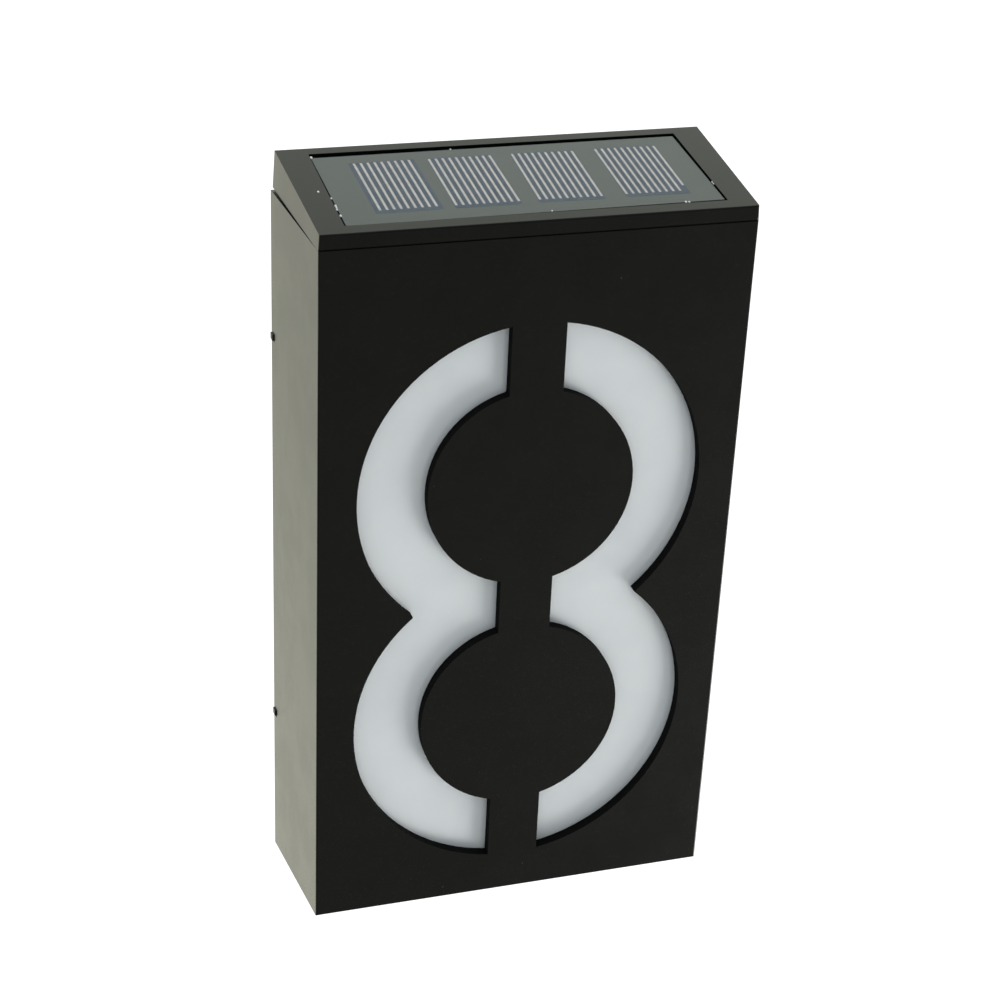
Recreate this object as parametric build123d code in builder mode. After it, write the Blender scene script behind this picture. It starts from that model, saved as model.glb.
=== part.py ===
from build123d import *
import math
import os

# House number light: a tall box for a wall, with a numeral cut through its front in front of a white
# diffuser, a sloping lid that carries a solar panel, and its cell and switch on the wall side.
# The frame: the wall is the plane Y = 0, the front looks along -Y, and Z = 0 is the height of the
# two keyholes. Heights are given from the front bottom edge of the box and turned into Z by BASE.

# Driving dimensions, in millimetres
WIDTH = 105.0  # of the front
BODY_HEIGHT = 182.7  # of the front, up to the parting line under the lid
DEPTH = 43.2  # from the wall to the front
FLARE = 1.7  # each side spreads by this much towards the wall
BOTTOM_DROP = 7.0  # the bottom falls by this much towards the wall
RIM_DROP = 0.6  # the top rim falls by this much, which opens a gap under the lid
FRONT_WALL = 2.8
SIDE_WALL = 2.6
EDGE_R = 0.5
SHELF_T = 2.4
SHELF_RIB_T = 1.2
SHELF_RIB_H = 6.6
SHELF_REACH = 12.0  # of the lid's screws, in from the side walls
SHELF_GAP = 0.3
FIX_BELOW_RIM = 32.7  # of the keyholes
FIX_SPACING = 60.0

# Numeral: two rings of one stroke, cut by an upright bridge
NUMERAL_SIDE = 9.4  # from the front's side edges
NUMERAL_BELOW = 10.9  # from the front's bottom edge
NUMERAL_ABOVE = 21.2  # from the parting line
STROKE_W = 17.25
BRIDGE_W = 13.3

# Lid and solar panel
LID_FRONT_H = 3.8
LID_REAR_H = 9.0
LID_SIDE_INSET = 0.2  # of the lid's top edges at the front
LID_FLARE = 0.9  # each side spreads by this much towards the wall
LID_DRAFT = 0.055  # each side spreads downwards, by this share of the height
LID_FLOOR_T = 1.1
GROOVE_H = 0.45
GROOVE_D = 0.4
SKIRT_H = 4.0
SKIRT_T = 1.6
PANEL_FROM_SIDE = 6.8
PANEL_FROM_FRONT = 4.1
PANEL_FROM_REAR = 3.36
PANEL_SINK = 0.75
PANEL_GAP = 0.3
BOARD_T = 1.0
COVER_T = 0.6
TAPE_T = 0.5
CELL_T = 0.2
CELL_FROM_FRONT = 6.2  # from the panel's edges to the cells
CELL_FROM_REAR = 3.4
CELL_FROM_LEFT = 8.5
CELL_FROM_RIGHT = 6.3
CELL_SPACES = (1.7, 3.6, 4.5)  # between the cells, which are laid by hand, from left to right
TAPE_W = 7.0
LEAD_WINDOW = (15.0, 6.5)

# Back plate, rebate and seal
PLATE_T = 2.2
SEAL_T = 0.8
LIP_T = 1.3
PLATE_GAP = 0.25
TONGUE_LOW_H = 36.5
TONGUE_BELOW_RIM = 37.7
TONGUE_H = 1.6
TONGUE_GAP = 0.2
TONGUE_PROUD = 0.3

# Screws
SCREW_R = 1.25
SCREW_HEAD_R = 2.6
SCREW_HEAD_H = 1.7
SCREW_GAP = 0.05
SCREW_PASS_GAP = 0.25
SCREW_LENGTH = 8.0
SCREW_TIP_GAP = 1.2
CROSS_L = 3.1
CROSS_W = 0.7
CROSS_D = 0.9
BOSS_R = 3.3
BOSS_INSET = 1.0  # of the corner bosses from the walls
BOSS_BELOW_RIM = 10.2
WEB_T = 1.4
WELL_FLOOR = 1.3

# Diffuser, reflector tray and light board
DIFFUSER_T = 1.5
DIFFUSER_MARGIN = 5.0
DIFFUSER_GAP = 0.3
TRAY_T = 1.2
TRAY_TO_BAY = 1.8
TRAY_DRAFT = 3.0
TRAY_GAP = 0.5
EAR_H = 5.0
EAR_T = 1.6
EAR_LOW_H = 30.0
EAR_BELOW_RIM = 42.7
POST_R = 2.3
LIGHT_BOARD_W = 18.0
LIGHT_BOARD_END = 9.0
LIGHT_BOARD_T = 1.0
LED_COUNT = 6
LED_PITCH = 22.0
LED_W = 2.8
LED_L = 3.5
LED_H = 0.9
LED_GAP = 0.3
LED_DISH_R = 1.1
LED_DISH_D = 0.15
STAKE_R = 1.0
STAKE_IN = 3.0
STAKE_GAP = 0.1
STAKE_HEAD_R = 1.8
STAKE_HEAD_T = 0.7

# Battery bay, its cell and its door
CELL_R = 7.15
CELL_LENGTH = 49.5
CELL_SHOULDER = 0.8
NUB_R = 2.7
NUB_H = 1.0
BAY_HEIGHT = 60.0  # height of the cell's axis
BAY_WALL = 1.4
BAY_RIM = 1.4
BAY_GAP = 0.35
SPRING_ROOM = 4.4
SPRING_R = 4.0
SPRING_TIP_R = 2.8
SPRING_QUARTERS = 13  # quarter turns
SPRING_SEAT_GAP = 0.02
WIRE_R = 0.35
CONTACT_T = 0.4
CONTACT_W = 9.0
CONTACT_H = 8.0
TAIL_W = 2.2
TAIL_L = 3.0
TAIL_GAP = 0.15
DOOR_T = 1.9
DOOR_SUNK = 0.1
DOOR_GAP = 0.3
DOOR_OVER = 3.4
DOOR_BELOW = 4.0
DOOR_ABOVE = 5.0
DOOR_SEAT_GAP = 0.2
GRIP_COUNT = 3
GRIP_PITCH = 1.6
GRIP_UP = 2.4
GRIP_W = 26.0
GRIP_H = 0.8
GRIP_D = 0.5
SCOOP_R = 6.0
SCOOP_D = 1.2
HINGE_R = 1.3
HINGE_PIN_R = 0.9
HINGE_PIN_L = 1.8
HINGE_RUN = 0.05
HINGE_DEPTH = 1.6
HINGE_ROOM = 1.9
LEDGE_T = 2.4
LEDGE_SIDE = 2.8

# Control board and switch
CONTROL_W = 44.0
CONTROL_H = 24.0
CONTROL_T = 1.2
CONTROL_HEIGHT = 106.0
CONTROL_BOSS_R = 2.5
CONTROL_BOSS_IN = 3.2
CONTROL_SCREW_L = 5.0
CHIP_SIZE = (4.9, 3.9, 1.6)
CHIP_CHAMFER = 0.25
CHIP_X = -2.0
COIL_R = 3.4
COIL_WOUND_R = 2.6
COIL_FLANGE_T = 1.0
COIL_H = 5.0
COIL_X = 9.0
SWITCH_W = 8.6
SWITCH_H = 4.6
SWITCH_T = 4.0
SWITCH_SKIN = 0.5
SWITCH_X = -9.0
KNOB_W = 3.2
KNOB_H = 2.6
KNOB_BASE_T = 1.4
KNOB_STEM_W = 2.2
KNOB_SUNK = 0.4
KNOB_TRAVEL = 2.5
KNOB_GAP = 0.1
SLOT_GAP = 0.4
SWITCH_CLEAR = 0.3
WINDOW_SINK = 1.0
WINDOW_MARGIN = 2.6

# Keyholes
KEY_R = 4.5
KEY_SLOT_R = 2.2
KEY_RISE = 8.0
POCKET_ROOM = 1.2
POCKET_DEPTH = 5.5
POCKET_WALL = 1.4

# Stiffening ribs inside the back plate
RIB_T = 1.2
RIB_H = 2.4
RIB_X = 40.0
RIB_LOW_H = 16.0
RIB_BELOW_KEYS = 14.0

# Leads and the pads that they are soldered to
LEAD_R = 0.6
WIRE_SIDES = 8  # flats of a lead's section and of the spring's wire
PANEL_PAD_X = 2.5
PANEL_LEADS_IN = 9.0  # from the control board's left edge
PANEL_LEADS_APART = 2.0
LIGHT_LEADS_X = 3.0
LIGHT_LEADS_APART = 1.5
LIGHT_PAD_RISE = 24.0  # above the middle of the control board
PAD_RISE = 8.5
PAD_DROP = 8.0
LEAD_ARCH = 5.0  # how far the leads stand off the control board

BASE = FIX_BELOW_RIM - BODY_HEIGHT  # Z of the front bottom edge
FRONT = -DEPTH


def half_width(y):
    """Half the outer width of the box at depth y."""
    return WIDTH / 2 + FLARE * (y - FRONT) / DEPTH


def bottom_z(y):
    """Height of the sloping bottom at depth y."""
    return BASE - BOTTOM_DROP * (y - FRONT) / DEPTH


def rim_z(y):
    """Height of the box's top rim at depth y."""
    return BASE + BODY_HEIGHT - RIM_DROP * (y - FRONT) / DEPTH


def lid_half(y):
    """Half the width of the lid's top at depth y."""
    return WIDTH / 2 - LID_SIDE_INSET + LID_FLARE * (y - FRONT) / DEPTH


LID_Z = BASE + BODY_HEIGHT
LID_SLOPE = (LID_REAR_H - LID_FRONT_H) / DEPTH
LID_ANGLE = math.degrees(math.atan(LID_SLOPE))


def lid_top_z(y, below=0.0):
    """Height of the lid's top plane at depth y, or of a plane that lies below it."""
    return LID_Z + LID_FRONT_H + LID_SLOPE * (y - FRONT) - below / math.cos(math.radians(LID_ANGLE))


def lid_section(y):
    """An upright section of the lid at depth y, whose sides spread downwards by the draft."""
    top, high = lid_half(y), lid_top_z(y)
    low = top + LID_DRAFT * (high - LID_Z)
    with BuildSketch(depth_plane(y)) as section:
        with BuildLine():
            Polyline((-low, LID_Z), (low, LID_Z), (top, high), (-top, high), close=True)
        make_face()
    return section.sketch


def depth_plane(y):
    """An upright plane at depth y that faces the front; sketches on it use X and Z."""
    return Plane.XZ.offset(-y)


def upright(y, half, low, high):
    """An upright four-sided section at depth y, from -half to half and from low to high."""
    with BuildSketch(depth_plane(y)) as section:
        with BuildLine():
            Polyline((-half, low), (half, low), (half, high), (-half, high), close=True)
        make_face()
    return section.sketch


def block(x, y, z, mode=Mode.ADD):
    """A box between the pairs of limits x, y and z, joined to or cut from the part being built."""
    with Locations(((x[0] + x[1]) / 2, (y[0] + y[1]) / 2, (z[0] + z[1]) / 2)):
        Box(x[1] - x[0], y[1] - y[0], z[1] - z[0], mode=mode)


def discs(y, points, radius, length, mode=Mode.ADD):
    """Round bars of a length towards the front from depth y, one at each (x, z) point."""
    with BuildSketch(depth_plane(y)) as faces:
        with Locations(*points):
            Circle(radius)
    extrude(faces.sketch, amount=length, mode=mode)


def crosses(y, points, mode=Mode.SUBTRACT):
    """Cross recesses of screws whose heads have their top at depth y."""
    with BuildSketch(depth_plane(y)) as faces:
        with Locations(*points):
            Rectangle(CROSS_L, CROSS_W)
            Rectangle(CROSS_W, CROSS_L)
    extrude(faces.sketch, amount=CROSS_D, mode=mode)


def save(node, name):
    """Label a finished piece and write its file."""
    node.part.label = name
    export_step(node.part, f"parts/{name}.step")


os.makedirs("parts", exist_ok=True)

# Places that several pieces share
REBATE = PLATE_T + SEAL_T
WELL_D = SCREW_HEAD_H + SCREW_PASS_GAP  # depth of the screw wells in the back plate
PLATE_HALF = half_width(0) - LIP_T - PLATE_GAP
REBATE_LOW = bottom_z(-REBATE) + LIP_T
PLATE_LOW = REBATE_LOW + PLATE_GAP
PLATE_HIGH = rim_z(0) - PLATE_GAP
BOSS_END = -WELL_D - WELL_FLOOR
BOSS_X = half_width(FRONT) - SIDE_WALL - BOSS_R - BOSS_INSET
BOSS_LOW_H = SIDE_WALL + BOSS_R + BOSS_INSET
BOSS_HEIGHTS = (BOSS_LOW_H, BODY_HEIGHT - BOSS_BELOW_RIM)
PLATE_POINTS = [(sx * BOSS_X, BASE + h) for h in BOSS_HEIGHTS for sx in (-1, 1)]
POST_X = half_width(FRONT) - SIDE_WALL - POST_R - DIFFUSER_GAP
POST_POINTS = [(sx * POST_X, BASE + h) for h in (EAR_LOW_H, BODY_HEIGHT - EAR_BELOW_RIM) for sx in (-1, 1)]
NUMERAL_OUTER_R = WIDTH / 2 - NUMERAL_SIDE
NUMERAL_INNER_R = NUMERAL_OUTER_R - STROKE_W
LOWER_LOBE_Z = BASE + NUMERAL_BELOW + NUMERAL_OUTER_R
UPPER_LOBE_Z = BASE + BODY_HEIGHT - NUMERAL_ABOVE - NUMERAL_OUTER_R
DIFFUSER_Y = FRONT + FRONT_WALL
DIFFUSER_HALF = half_width(DIFFUSER_Y) - SIDE_WALL - DIFFUSER_GAP
DIFFUSER_LOW = LOWER_LOBE_Z - NUMERAL_OUTER_R - DIFFUSER_MARGIN
DIFFUSER_HIGH = UPPER_LOBE_Z + NUMERAL_OUTER_R + DIFFUSER_MARGIN
FLANGE_Y = DIFFUSER_Y + DIFFUSER_T
EAR_Y = FLANGE_Y + TRAY_T + EAR_H
TONGUE_ZS = (BASE + TONGUE_LOW_H, BASE + BODY_HEIGHT - TONGUE_BELOW_RIM)
SHELF_Z = BASE + BODY_HEIGHT - SKIRT_H - SHELF_GAP
SHELF_Y = FRONT + DEPTH / 2
SHELF_X = half_width(SHELF_Y) - SIDE_WALL - SHELF_REACH
SHELF_POINTS = ((-SHELF_X, SHELF_Y), (SHELF_X, SHELF_Y))

# Places in the battery bay. The cell lies along X, its nub to the left and the spring to the right.
BAY_LENGTH = CONTACT_T + NUB_H + CELL_LENGTH + SPRING_ROOM + CONTACT_T
BAY_LEFT = -BAY_LENGTH / 2
BAY_RIGHT = BAY_LENGTH / 2
BAY_Z = BASE + BAY_HEIGHT
BAY_R = CELL_R + BAY_GAP
DOOR_INNER = -DOOR_SUNK - DOOR_T
CELL_Y = DOOR_INNER - BAY_GAP - CELL_R
DOOR_HALF = BAY_RIGHT + DOOR_OVER
DOOR_LOW = BAY_Z - BAY_R - DOOR_BELOW
HINGE_Z = BAY_Z + BAY_R + DOOR_ABOVE - HINGE_R
LEDGE_Y = DOOR_INNER - DOOR_SEAT_GAP
LEDGE_BACK = LEDGE_Y - LEDGE_T
HINGE_TROUGH = -HINGE_DEPTH - HINGE_R - DOOR_GAP
BAY_TOP = HINGE_Z + HINGE_ROOM + BAY_RIM
BAY_BACK = CELL_Y - BAY_R - BAY_WALL
TRAY_BACK = BAY_BACK - TRAY_TO_BAY - STAKE_HEAD_T - LIGHT_BOARD_T
TRAY_DEPTH = TRAY_BACK - FLANGE_Y

# Housing: one black moulding. A lofted shell, open at the top and towards the wall, with the numeral cut
# through its front as a stencil, a rebate and corner bosses for the back plate, posts for the
# reflector tray, two shelves for the lid's screws and slots for the back plate's tongues.
with BuildPart() as housing:
    outside = (
        upright(FRONT, half_width(FRONT), bottom_z(FRONT), rim_z(FRONT)),
        upright(0, half_width(0), bottom_z(0), rim_z(0)),
    )
    loft(sections=outside, ruled=True)
    front_edges = housing.faces().sort_by(Axis.Y)[0].edges()
    fillet(front_edges.sort_by(Axis.Z)[:-1], radius=EDGE_R)
    above = BASE + BODY_HEIGHT + LID_FRONT_H
    inside = (
        upright(
            DIFFUSER_Y,
            half_width(DIFFUSER_Y) - SIDE_WALL,
            bottom_z(DIFFUSER_Y) + SIDE_WALL,
            above,
        ),
        upright(0, half_width(0) - SIDE_WALL, bottom_z(0) + SIDE_WALL, above),
    )
    loft(sections=inside, ruled=True, mode=Mode.SUBTRACT)
    block((-half_width(0) + LIP_T, half_width(0) - LIP_T), (-REBATE, 0), (REBATE_LOW, above), Mode.SUBTRACT)
    with BuildSketch(depth_plane(FRONT)):
        with Locations((0, LOWER_LOBE_Z), (0, UPPER_LOBE_Z)):
            Circle(NUMERAL_OUTER_R)
        with Locations((0, LOWER_LOBE_Z), (0, UPPER_LOBE_Z)):
            Circle(NUMERAL_INNER_R, mode=Mode.SUBTRACT)
        with Locations((0, (LOWER_LOBE_Z + UPPER_LOBE_Z) / 2)):
            Rectangle(BRIDGE_W, 2 * BODY_HEIGHT, mode=Mode.SUBTRACT)
    extrude(amount=-FRONT_WALL, mode=Mode.SUBTRACT)
    # corner bosses, tied to the side walls by webs
    discs(BOSS_END, PLATE_POINTS, BOSS_R, BOSS_END - DIFFUSER_Y)
    for x, z in PLATE_POINTS:
        side = math.copysign(1, x)
        reach = sorted((x, side * (half_width(FRONT) - SIDE_WALL / 2)))
        block(reach, (DIFFUSER_Y, BOSS_END), (z - WEB_T / 2, z + WEB_T / 2))
    hole_d = SCREW_LENGTH - WELL_FLOOR + SCREW_TIP_GAP
    discs(BOSS_END, PLATE_POINTS, SCREW_R + SCREW_GAP, hole_d, Mode.SUBTRACT)
    # posts for the reflector's ears
    discs(EAR_Y, POST_POINTS, POST_R, EAR_Y - DIFFUSER_Y)
    hole_d = SCREW_LENGTH - EAR_T + SCREW_TIP_GAP
    discs(EAR_Y, POST_POINTS, SCREW_R + SCREW_GAP, hole_d, Mode.SUBTRACT)
    # shelves for the lid's screws, each on two sloping ribs
    for side in (-1, 1):
        wall = side * (half_width(SHELF_Y) - SIDE_WALL / 2)
        inner = side * (SHELF_X - BOSS_R)
        shelf_depth = (SHELF_Y - BOSS_R - SHELF_RIB_T, SHELF_Y + BOSS_R + SHELF_RIB_T)
        block(sorted((inner, wall)), shelf_depth, (SHELF_Z - SHELF_T, SHELF_Z))
        for y in (SHELF_Y - BOSS_R, SHELF_Y + BOSS_R + SHELF_RIB_T):
            with BuildSketch(depth_plane(y)):
                with BuildLine():
                    Polyline(
                        (inner, SHELF_Z - SHELF_T),
                        (wall, SHELF_Z - SHELF_T),
                        (wall, SHELF_Z - SHELF_T - SHELF_RIB_H),
                        close=True,
                    )
                make_face()
            extrude(amount=SHELF_RIB_T)
    with BuildSketch(Plane.XY.offset(SHELF_Z)):
        with Locations(*SHELF_POINTS):
            Circle(SCREW_R + SCREW_PASS_GAP)
    extrude(amount=-SHELF_T, mode=Mode.SUBTRACT)
    # slots in the rear edges of both sides for the back plate's tongues
    for z in TONGUE_ZS:
        slot = TONGUE_H / 2 + TONGUE_GAP
        reach = half_width(0) + FLARE
        for limits in ((-reach, -PLATE_HALF), (PLATE_HALF, reach)):
            block(limits, (-REBATE, 0), (z - slot, z + slot), Mode.SUBTRACT)
save(housing, "housing")

# Diffuser: flat opal sheet against the inside of the front, notched round the posts and lower bosses.
with BuildPart() as diffuser:
    with BuildSketch(depth_plane(FLANGE_Y)) as sheet:
        with Locations((0, (DIFFUSER_LOW + DIFFUSER_HIGH) / 2)):
            Rectangle(2 * DIFFUSER_HALF, DIFFUSER_HIGH - DIFFUSER_LOW)
        with Locations(*PLATE_POINTS[:2], *POST_POINTS):
            Circle(BOSS_R + DIFFUSER_GAP, mode=Mode.SUBTRACT)
        for x, z in PLATE_POINTS[:2] + POST_POINTS:
            with Locations((x + math.copysign(BOSS_R, x), z)):
                Rectangle(2 * BOSS_R, 2 * (BOSS_R + DIFFUSER_GAP), mode=Mode.SUBTRACT)
        for x, z in PLATE_POINTS[:2]:
            with Locations((x, z - BOSS_R)):
                Rectangle(2 * (BOSS_R + DIFFUSER_GAP), 2 * BOSS_R, mode=Mode.SUBTRACT)
            with Locations((x + math.copysign(BOSS_R, x), z - BOSS_R)):
                Rectangle(2 * BOSS_R, 2 * BOSS_R, mode=Mode.SUBTRACT)
    extrude(sheet.sketch, amount=DIFFUSER_T)
save(diffuser, "diffuser")

# Reflector: white tray with a flange that holds the diffuser, a drafted pan with a window for each
# LED, four ears on the housing's posts and four stakes that hold the LED board.
TRAY_HALF = POST_X - POST_R - TRAY_GAP
TRAY_LOW = BASE + BOSS_LOW_H + BOSS_R + DIFFUSER_GAP
TRAY_HIGH = UPPER_LOBE_Z + NUMERAL_OUTER_R + TRAY_GAP + TRAY_T
LIGHT_BOARD_L = (LED_COUNT - 1) * LED_PITCH + 2 * LIGHT_BOARD_END
BOARD_MID = (TRAY_LOW + TRAY_HIGH) / 2
LED_POINTS = [(0, BOARD_MID + (i - (LED_COUNT - 1) / 2) * LED_PITCH) for i in range(LED_COUNT)]
STAKE_X = LIGHT_BOARD_W / 2 - STAKE_IN
STAKE_Z = LIGHT_BOARD_L / 2 - STAKE_IN
STAKE_POINTS = [(sx * STAKE_X, BOARD_MID + sz * STAKE_Z) for sx in (-1, 1) for sz in (-1, 1)]
EAR_HALF = TRAY_HALF - TRAY_DRAFT * (EAR_Y - FLANGE_Y) / TRAY_DEPTH
with BuildPart() as reflector:
    extrude(sheet.sketch.moved(Location((0, TRAY_T, 0))), amount=TRAY_T)
    pan = (
        upright(FLANGE_Y, TRAY_HALF, TRAY_LOW, TRAY_HIGH),
        upright(TRAY_BACK, TRAY_HALF - TRAY_DRAFT, TRAY_LOW + TRAY_DRAFT, TRAY_HIGH - TRAY_DRAFT),
    )
    loft(sections=pan, ruled=True)
    fillet(reflector.edges().filter_by(GeomType.LINE).group_by(Axis.Y)[-1], radius=TRAY_T)
    hollow = (
        upright(FLANGE_Y, TRAY_HALF - TRAY_T, TRAY_LOW + TRAY_T, TRAY_HIGH - TRAY_T),
        upright(
            TRAY_BACK - TRAY_T,
            TRAY_HALF - TRAY_DRAFT - TRAY_T,
            TRAY_LOW + TRAY_DRAFT + TRAY_T,
            TRAY_HIGH - TRAY_DRAFT - TRAY_T,
        ),
    )
    loft(sections=hollow, ruled=True, mode=Mode.SUBTRACT)
    for x, z in POST_POINTS:
        side = math.copysign(1, x)
        reach = sorted((side * (EAR_HALF - TRAY_T / 2), side * (POST_X + POST_R)))
        block(reach, (EAR_Y, EAR_Y + EAR_T), (z - BOSS_R, z + BOSS_R))
    discs(EAR_Y + EAR_T, POST_POINTS, SCREW_R + SCREW_PASS_GAP, EAR_T, Mode.SUBTRACT)
    with BuildSketch(depth_plane(TRAY_BACK)):
        with Locations(*LED_POINTS):
            Rectangle(LED_W + 2 * LED_GAP, LED_L + 2 * LED_GAP)
    extrude(amount=TRAY_T, mode=Mode.SUBTRACT)
    discs(TRAY_BACK + LIGHT_BOARD_T, STAKE_POINTS, STAKE_R, LIGHT_BOARD_T + TRAY_T / 2)
    discs(TRAY_BACK + LIGHT_BOARD_T + STAKE_HEAD_T, STAKE_POINTS, STAKE_HEAD_R, STAKE_HEAD_T)
save(reflector, "reflector")

with BuildPart() as reflector_screws:
    discs(EAR_Y + EAR_T + SCREW_HEAD_H, POST_POINTS, SCREW_HEAD_R, SCREW_HEAD_H)
    discs(EAR_Y + EAR_T, POST_POINTS, SCREW_R, SCREW_LENGTH)
    crosses(EAR_Y + EAR_T + SCREW_HEAD_H, POST_POINTS)
save(reflector_screws, "reflector_screws")

# LED board: a white strip board held by the tray's stakes.
with BuildPart() as led_board:
    with BuildSketch(depth_plane(TRAY_BACK + LIGHT_BOARD_T)):
        with Locations((0, BOARD_MID)):
            Rectangle(LIGHT_BOARD_W, LIGHT_BOARD_L)
        with Locations(*STAKE_POINTS):
            Circle(STAKE_R + STAKE_GAP, mode=Mode.SUBTRACT)
    extrude(amount=LIGHT_BOARD_T)
save(led_board, "led_board")

with BuildPart() as leds:
    with BuildSketch(depth_plane(TRAY_BACK)):
        with Locations(*LED_POINTS):
            Rectangle(LED_W, LED_L)
    extrude(amount=LED_H)
    discs(TRAY_BACK - LED_H + LED_DISH_D, LED_POINTS, LED_DISH_R, LED_DISH_D, Mode.SUBTRACT)
save(leds, "leds")

# Solar panel and lid
PANEL_T = TAPE_T + BOARD_T + COVER_T
RECESS_D = PANEL_SINK + PANEL_T
PANEL_W = 2 * (lid_half(FRONT) - PANEL_FROM_SIDE)
PANEL_D = (DEPTH - PANEL_FROM_FRONT - PANEL_FROM_REAR) / math.cos(math.radians(LID_ANGLE))
PANEL_Y = (FRONT + PANEL_FROM_FRONT - PANEL_FROM_REAR) / 2
CELL_D = PANEL_D - CELL_FROM_FRONT - CELL_FROM_REAR
CELL_W = (PANEL_W - CELL_FROM_LEFT - CELL_FROM_RIGHT - sum(CELL_SPACES)) / (len(CELL_SPACES) + 1)


def panel_plane(below):
    """The plane at a depth under the lid's sloping top, centred on the panel; its y runs up the slope."""
    middle = Vector(0, PANEL_Y, lid_top_z(PANEL_Y))
    normal = Vector(0, -math.sin(math.radians(LID_ANGLE)), math.cos(math.radians(LID_ANGLE)))
    return Plane(origin=middle - normal * below, x_dir=(1, 0, 0), z_dir=normal)


def skirt_half(y):
    """Half the outer width of the lid's skirt at depth y."""
    return half_width(y) - SIDE_WALL - DIFFUSER_GAP


# Lid: a lofted wedge with a shadow groove along its front, the panel's recess in its top and, from below,
# a hollow, a skirt that plugs into the housing and two screw bosses that stand on its shelves.
CEILING = RECESS_D + LID_FLOOR_T
SKIRT_FRONT = DIFFUSER_Y + DIFFUSER_GAP
SKIRT_REAR = -REBATE


def skirt_section(y, inset, low, high):
    """An upright section of the skirt at depth y, set in from its outside, from low to high."""
    return upright(y, skirt_half(y) - inset, low, high)


with BuildPart() as lid:
    loft(sections=(lid_section(FRONT), lid_section(0)), ruled=True)
    fillet(lid.faces().sort_by(Axis.Y)[0].edges().sort_by(Axis.Z)[1:], radius=EDGE_R)
    skirt_low = LID_Z - SKIRT_H
    skirt = [skirt_section(y, 0, skirt_low, LID_Z + GROOVE_H) for y in (SKIRT_FRONT, SKIRT_REAR)]
    loft(sections=skirt, ruled=True)
    hollow_ends = (SKIRT_FRONT + SKIRT_T, SKIRT_REAR - SKIRT_T)
    hollow = [skirt_section(y, SKIRT_T, skirt_low, lid_top_z(y, CEILING)) for y in hollow_ends]
    loft(sections=hollow, ruled=True, mode=Mode.SUBTRACT)
    block((-WIDTH, WIDTH), (FRONT, FRONT + GROOVE_D), (LID_Z, LID_Z + GROOVE_H), Mode.SUBTRACT)
    with BuildSketch(Plane.XY.offset(SHELF_Z)):
        with Locations(*SHELF_POINTS):
            Circle(BOSS_R)
    extrude(until=Until.NEXT)
    with BuildSketch(Plane.XY.offset(SHELF_Z)):
        with Locations(*SHELF_POINTS):
            Circle(SCREW_R + SCREW_GAP)
    extrude(amount=SCREW_LENGTH - SHELF_T + SCREW_TIP_GAP / 2, mode=Mode.SUBTRACT)
    with BuildSketch(panel_plane(0)):
        RectangleRounded(PANEL_W + 2 * PANEL_GAP, PANEL_D + 2 * PANEL_GAP, PANEL_GAP)
    extrude(amount=-RECESS_D, mode=Mode.SUBTRACT)
    with BuildSketch(panel_plane(RECESS_D)):
        Rectangle(*LEAD_WINDOW)
    extrude(amount=-2 * LID_FLOOR_T, mode=Mode.SUBTRACT)
save(lid, "lid")

with BuildPart() as lid_screws:
    with BuildSketch(Plane.XY.offset(SHELF_Z - SHELF_T)):
        with Locations(*SHELF_POINTS):
            Circle(SCREW_HEAD_R)
    extrude(amount=-SCREW_HEAD_H)
    with BuildSketch(Plane.XY.offset(SHELF_Z - SHELF_T)):
        with Locations(*SHELF_POINTS):
            Circle(SCREW_R)
    extrude(amount=SCREW_LENGTH)
    with BuildSketch(Plane.XY.offset(SHELF_Z - SHELF_T - SCREW_HEAD_H)):
        with Locations(*SHELF_POINTS):
            Rectangle(CROSS_L, CROSS_W)
            Rectangle(CROSS_W, CROSS_L)
    extrude(amount=CROSS_D, mode=Mode.SUBTRACT)
save(lid_screws, "lid_screws")

with BuildPart() as panel_tape:
    with BuildSketch(panel_plane(RECESS_D)):
        Rectangle(PANEL_W, PANEL_D)
        Rectangle(PANEL_W - 2 * TAPE_W, PANEL_D - 2 * TAPE_W, mode=Mode.SUBTRACT)
    extrude(amount=TAPE_T)
save(panel_tape, "panel_tape")

with BuildPart() as solar_board:
    with BuildSketch(panel_plane(RECESS_D - TAPE_T)):
        Rectangle(PANEL_W, PANEL_D)
    extrude(amount=BOARD_T)
save(solar_board, "solar_board")

with BuildPart() as solar_cells:
    lefts = [sum(CELL_SPACES[:i]) + i * CELL_W for i in range(len(CELL_SPACES) + 1)]
    first = CELL_FROM_LEFT - PANEL_W / 2
    up = (CELL_FROM_FRONT - CELL_FROM_REAR) / 2
    with BuildSketch(panel_plane(PANEL_SINK + COVER_T)):
        with Locations(*[(first + left + CELL_W / 2, up) for left in lefts]):
            Rectangle(CELL_W, CELL_D)
    extrude(amount=CELL_T)
save(solar_cells, "solar_cells")

# Clear resin poured over the cells.
with BuildPart() as panel_cover:
    with BuildSketch(panel_plane(PANEL_SINK + COVER_T)):
        Rectangle(PANEL_W, PANEL_D)
    extrude(amount=COVER_T)
    add(solar_cells.part, mode=Mode.SUBTRACT)
save(panel_cover, "panel_cover")

# Places of the control board, of its switch and of the keyholes
CONTROL_Y = -PLATE_T - SWITCH_CLEAR - SWITCH_T  # the board's face towards the wall
CONTROL_Z = BASE + CONTROL_HEIGHT
CONTROL_BOSS_X = CONTROL_W / 2 - CONTROL_BOSS_IN
CONTROL_BOSS_RISE = CONTROL_H / 2 - CONTROL_BOSS_IN
CONTROL_POINTS = [(s * CONTROL_BOSS_X, CONTROL_Z + s * CONTROL_BOSS_RISE) for s in (-1, 1)]
KNOB_X = SWITCH_X - KNOB_TRAVEL / 2
KEY_POINTS = [(-FIX_SPACING / 2, 0), (FIX_SPACING / 2, 0)]
POCKET_HALF = KEY_R + POCKET_ROOM
POCKET_END = -PLATE_T - POCKET_DEPTH

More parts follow.
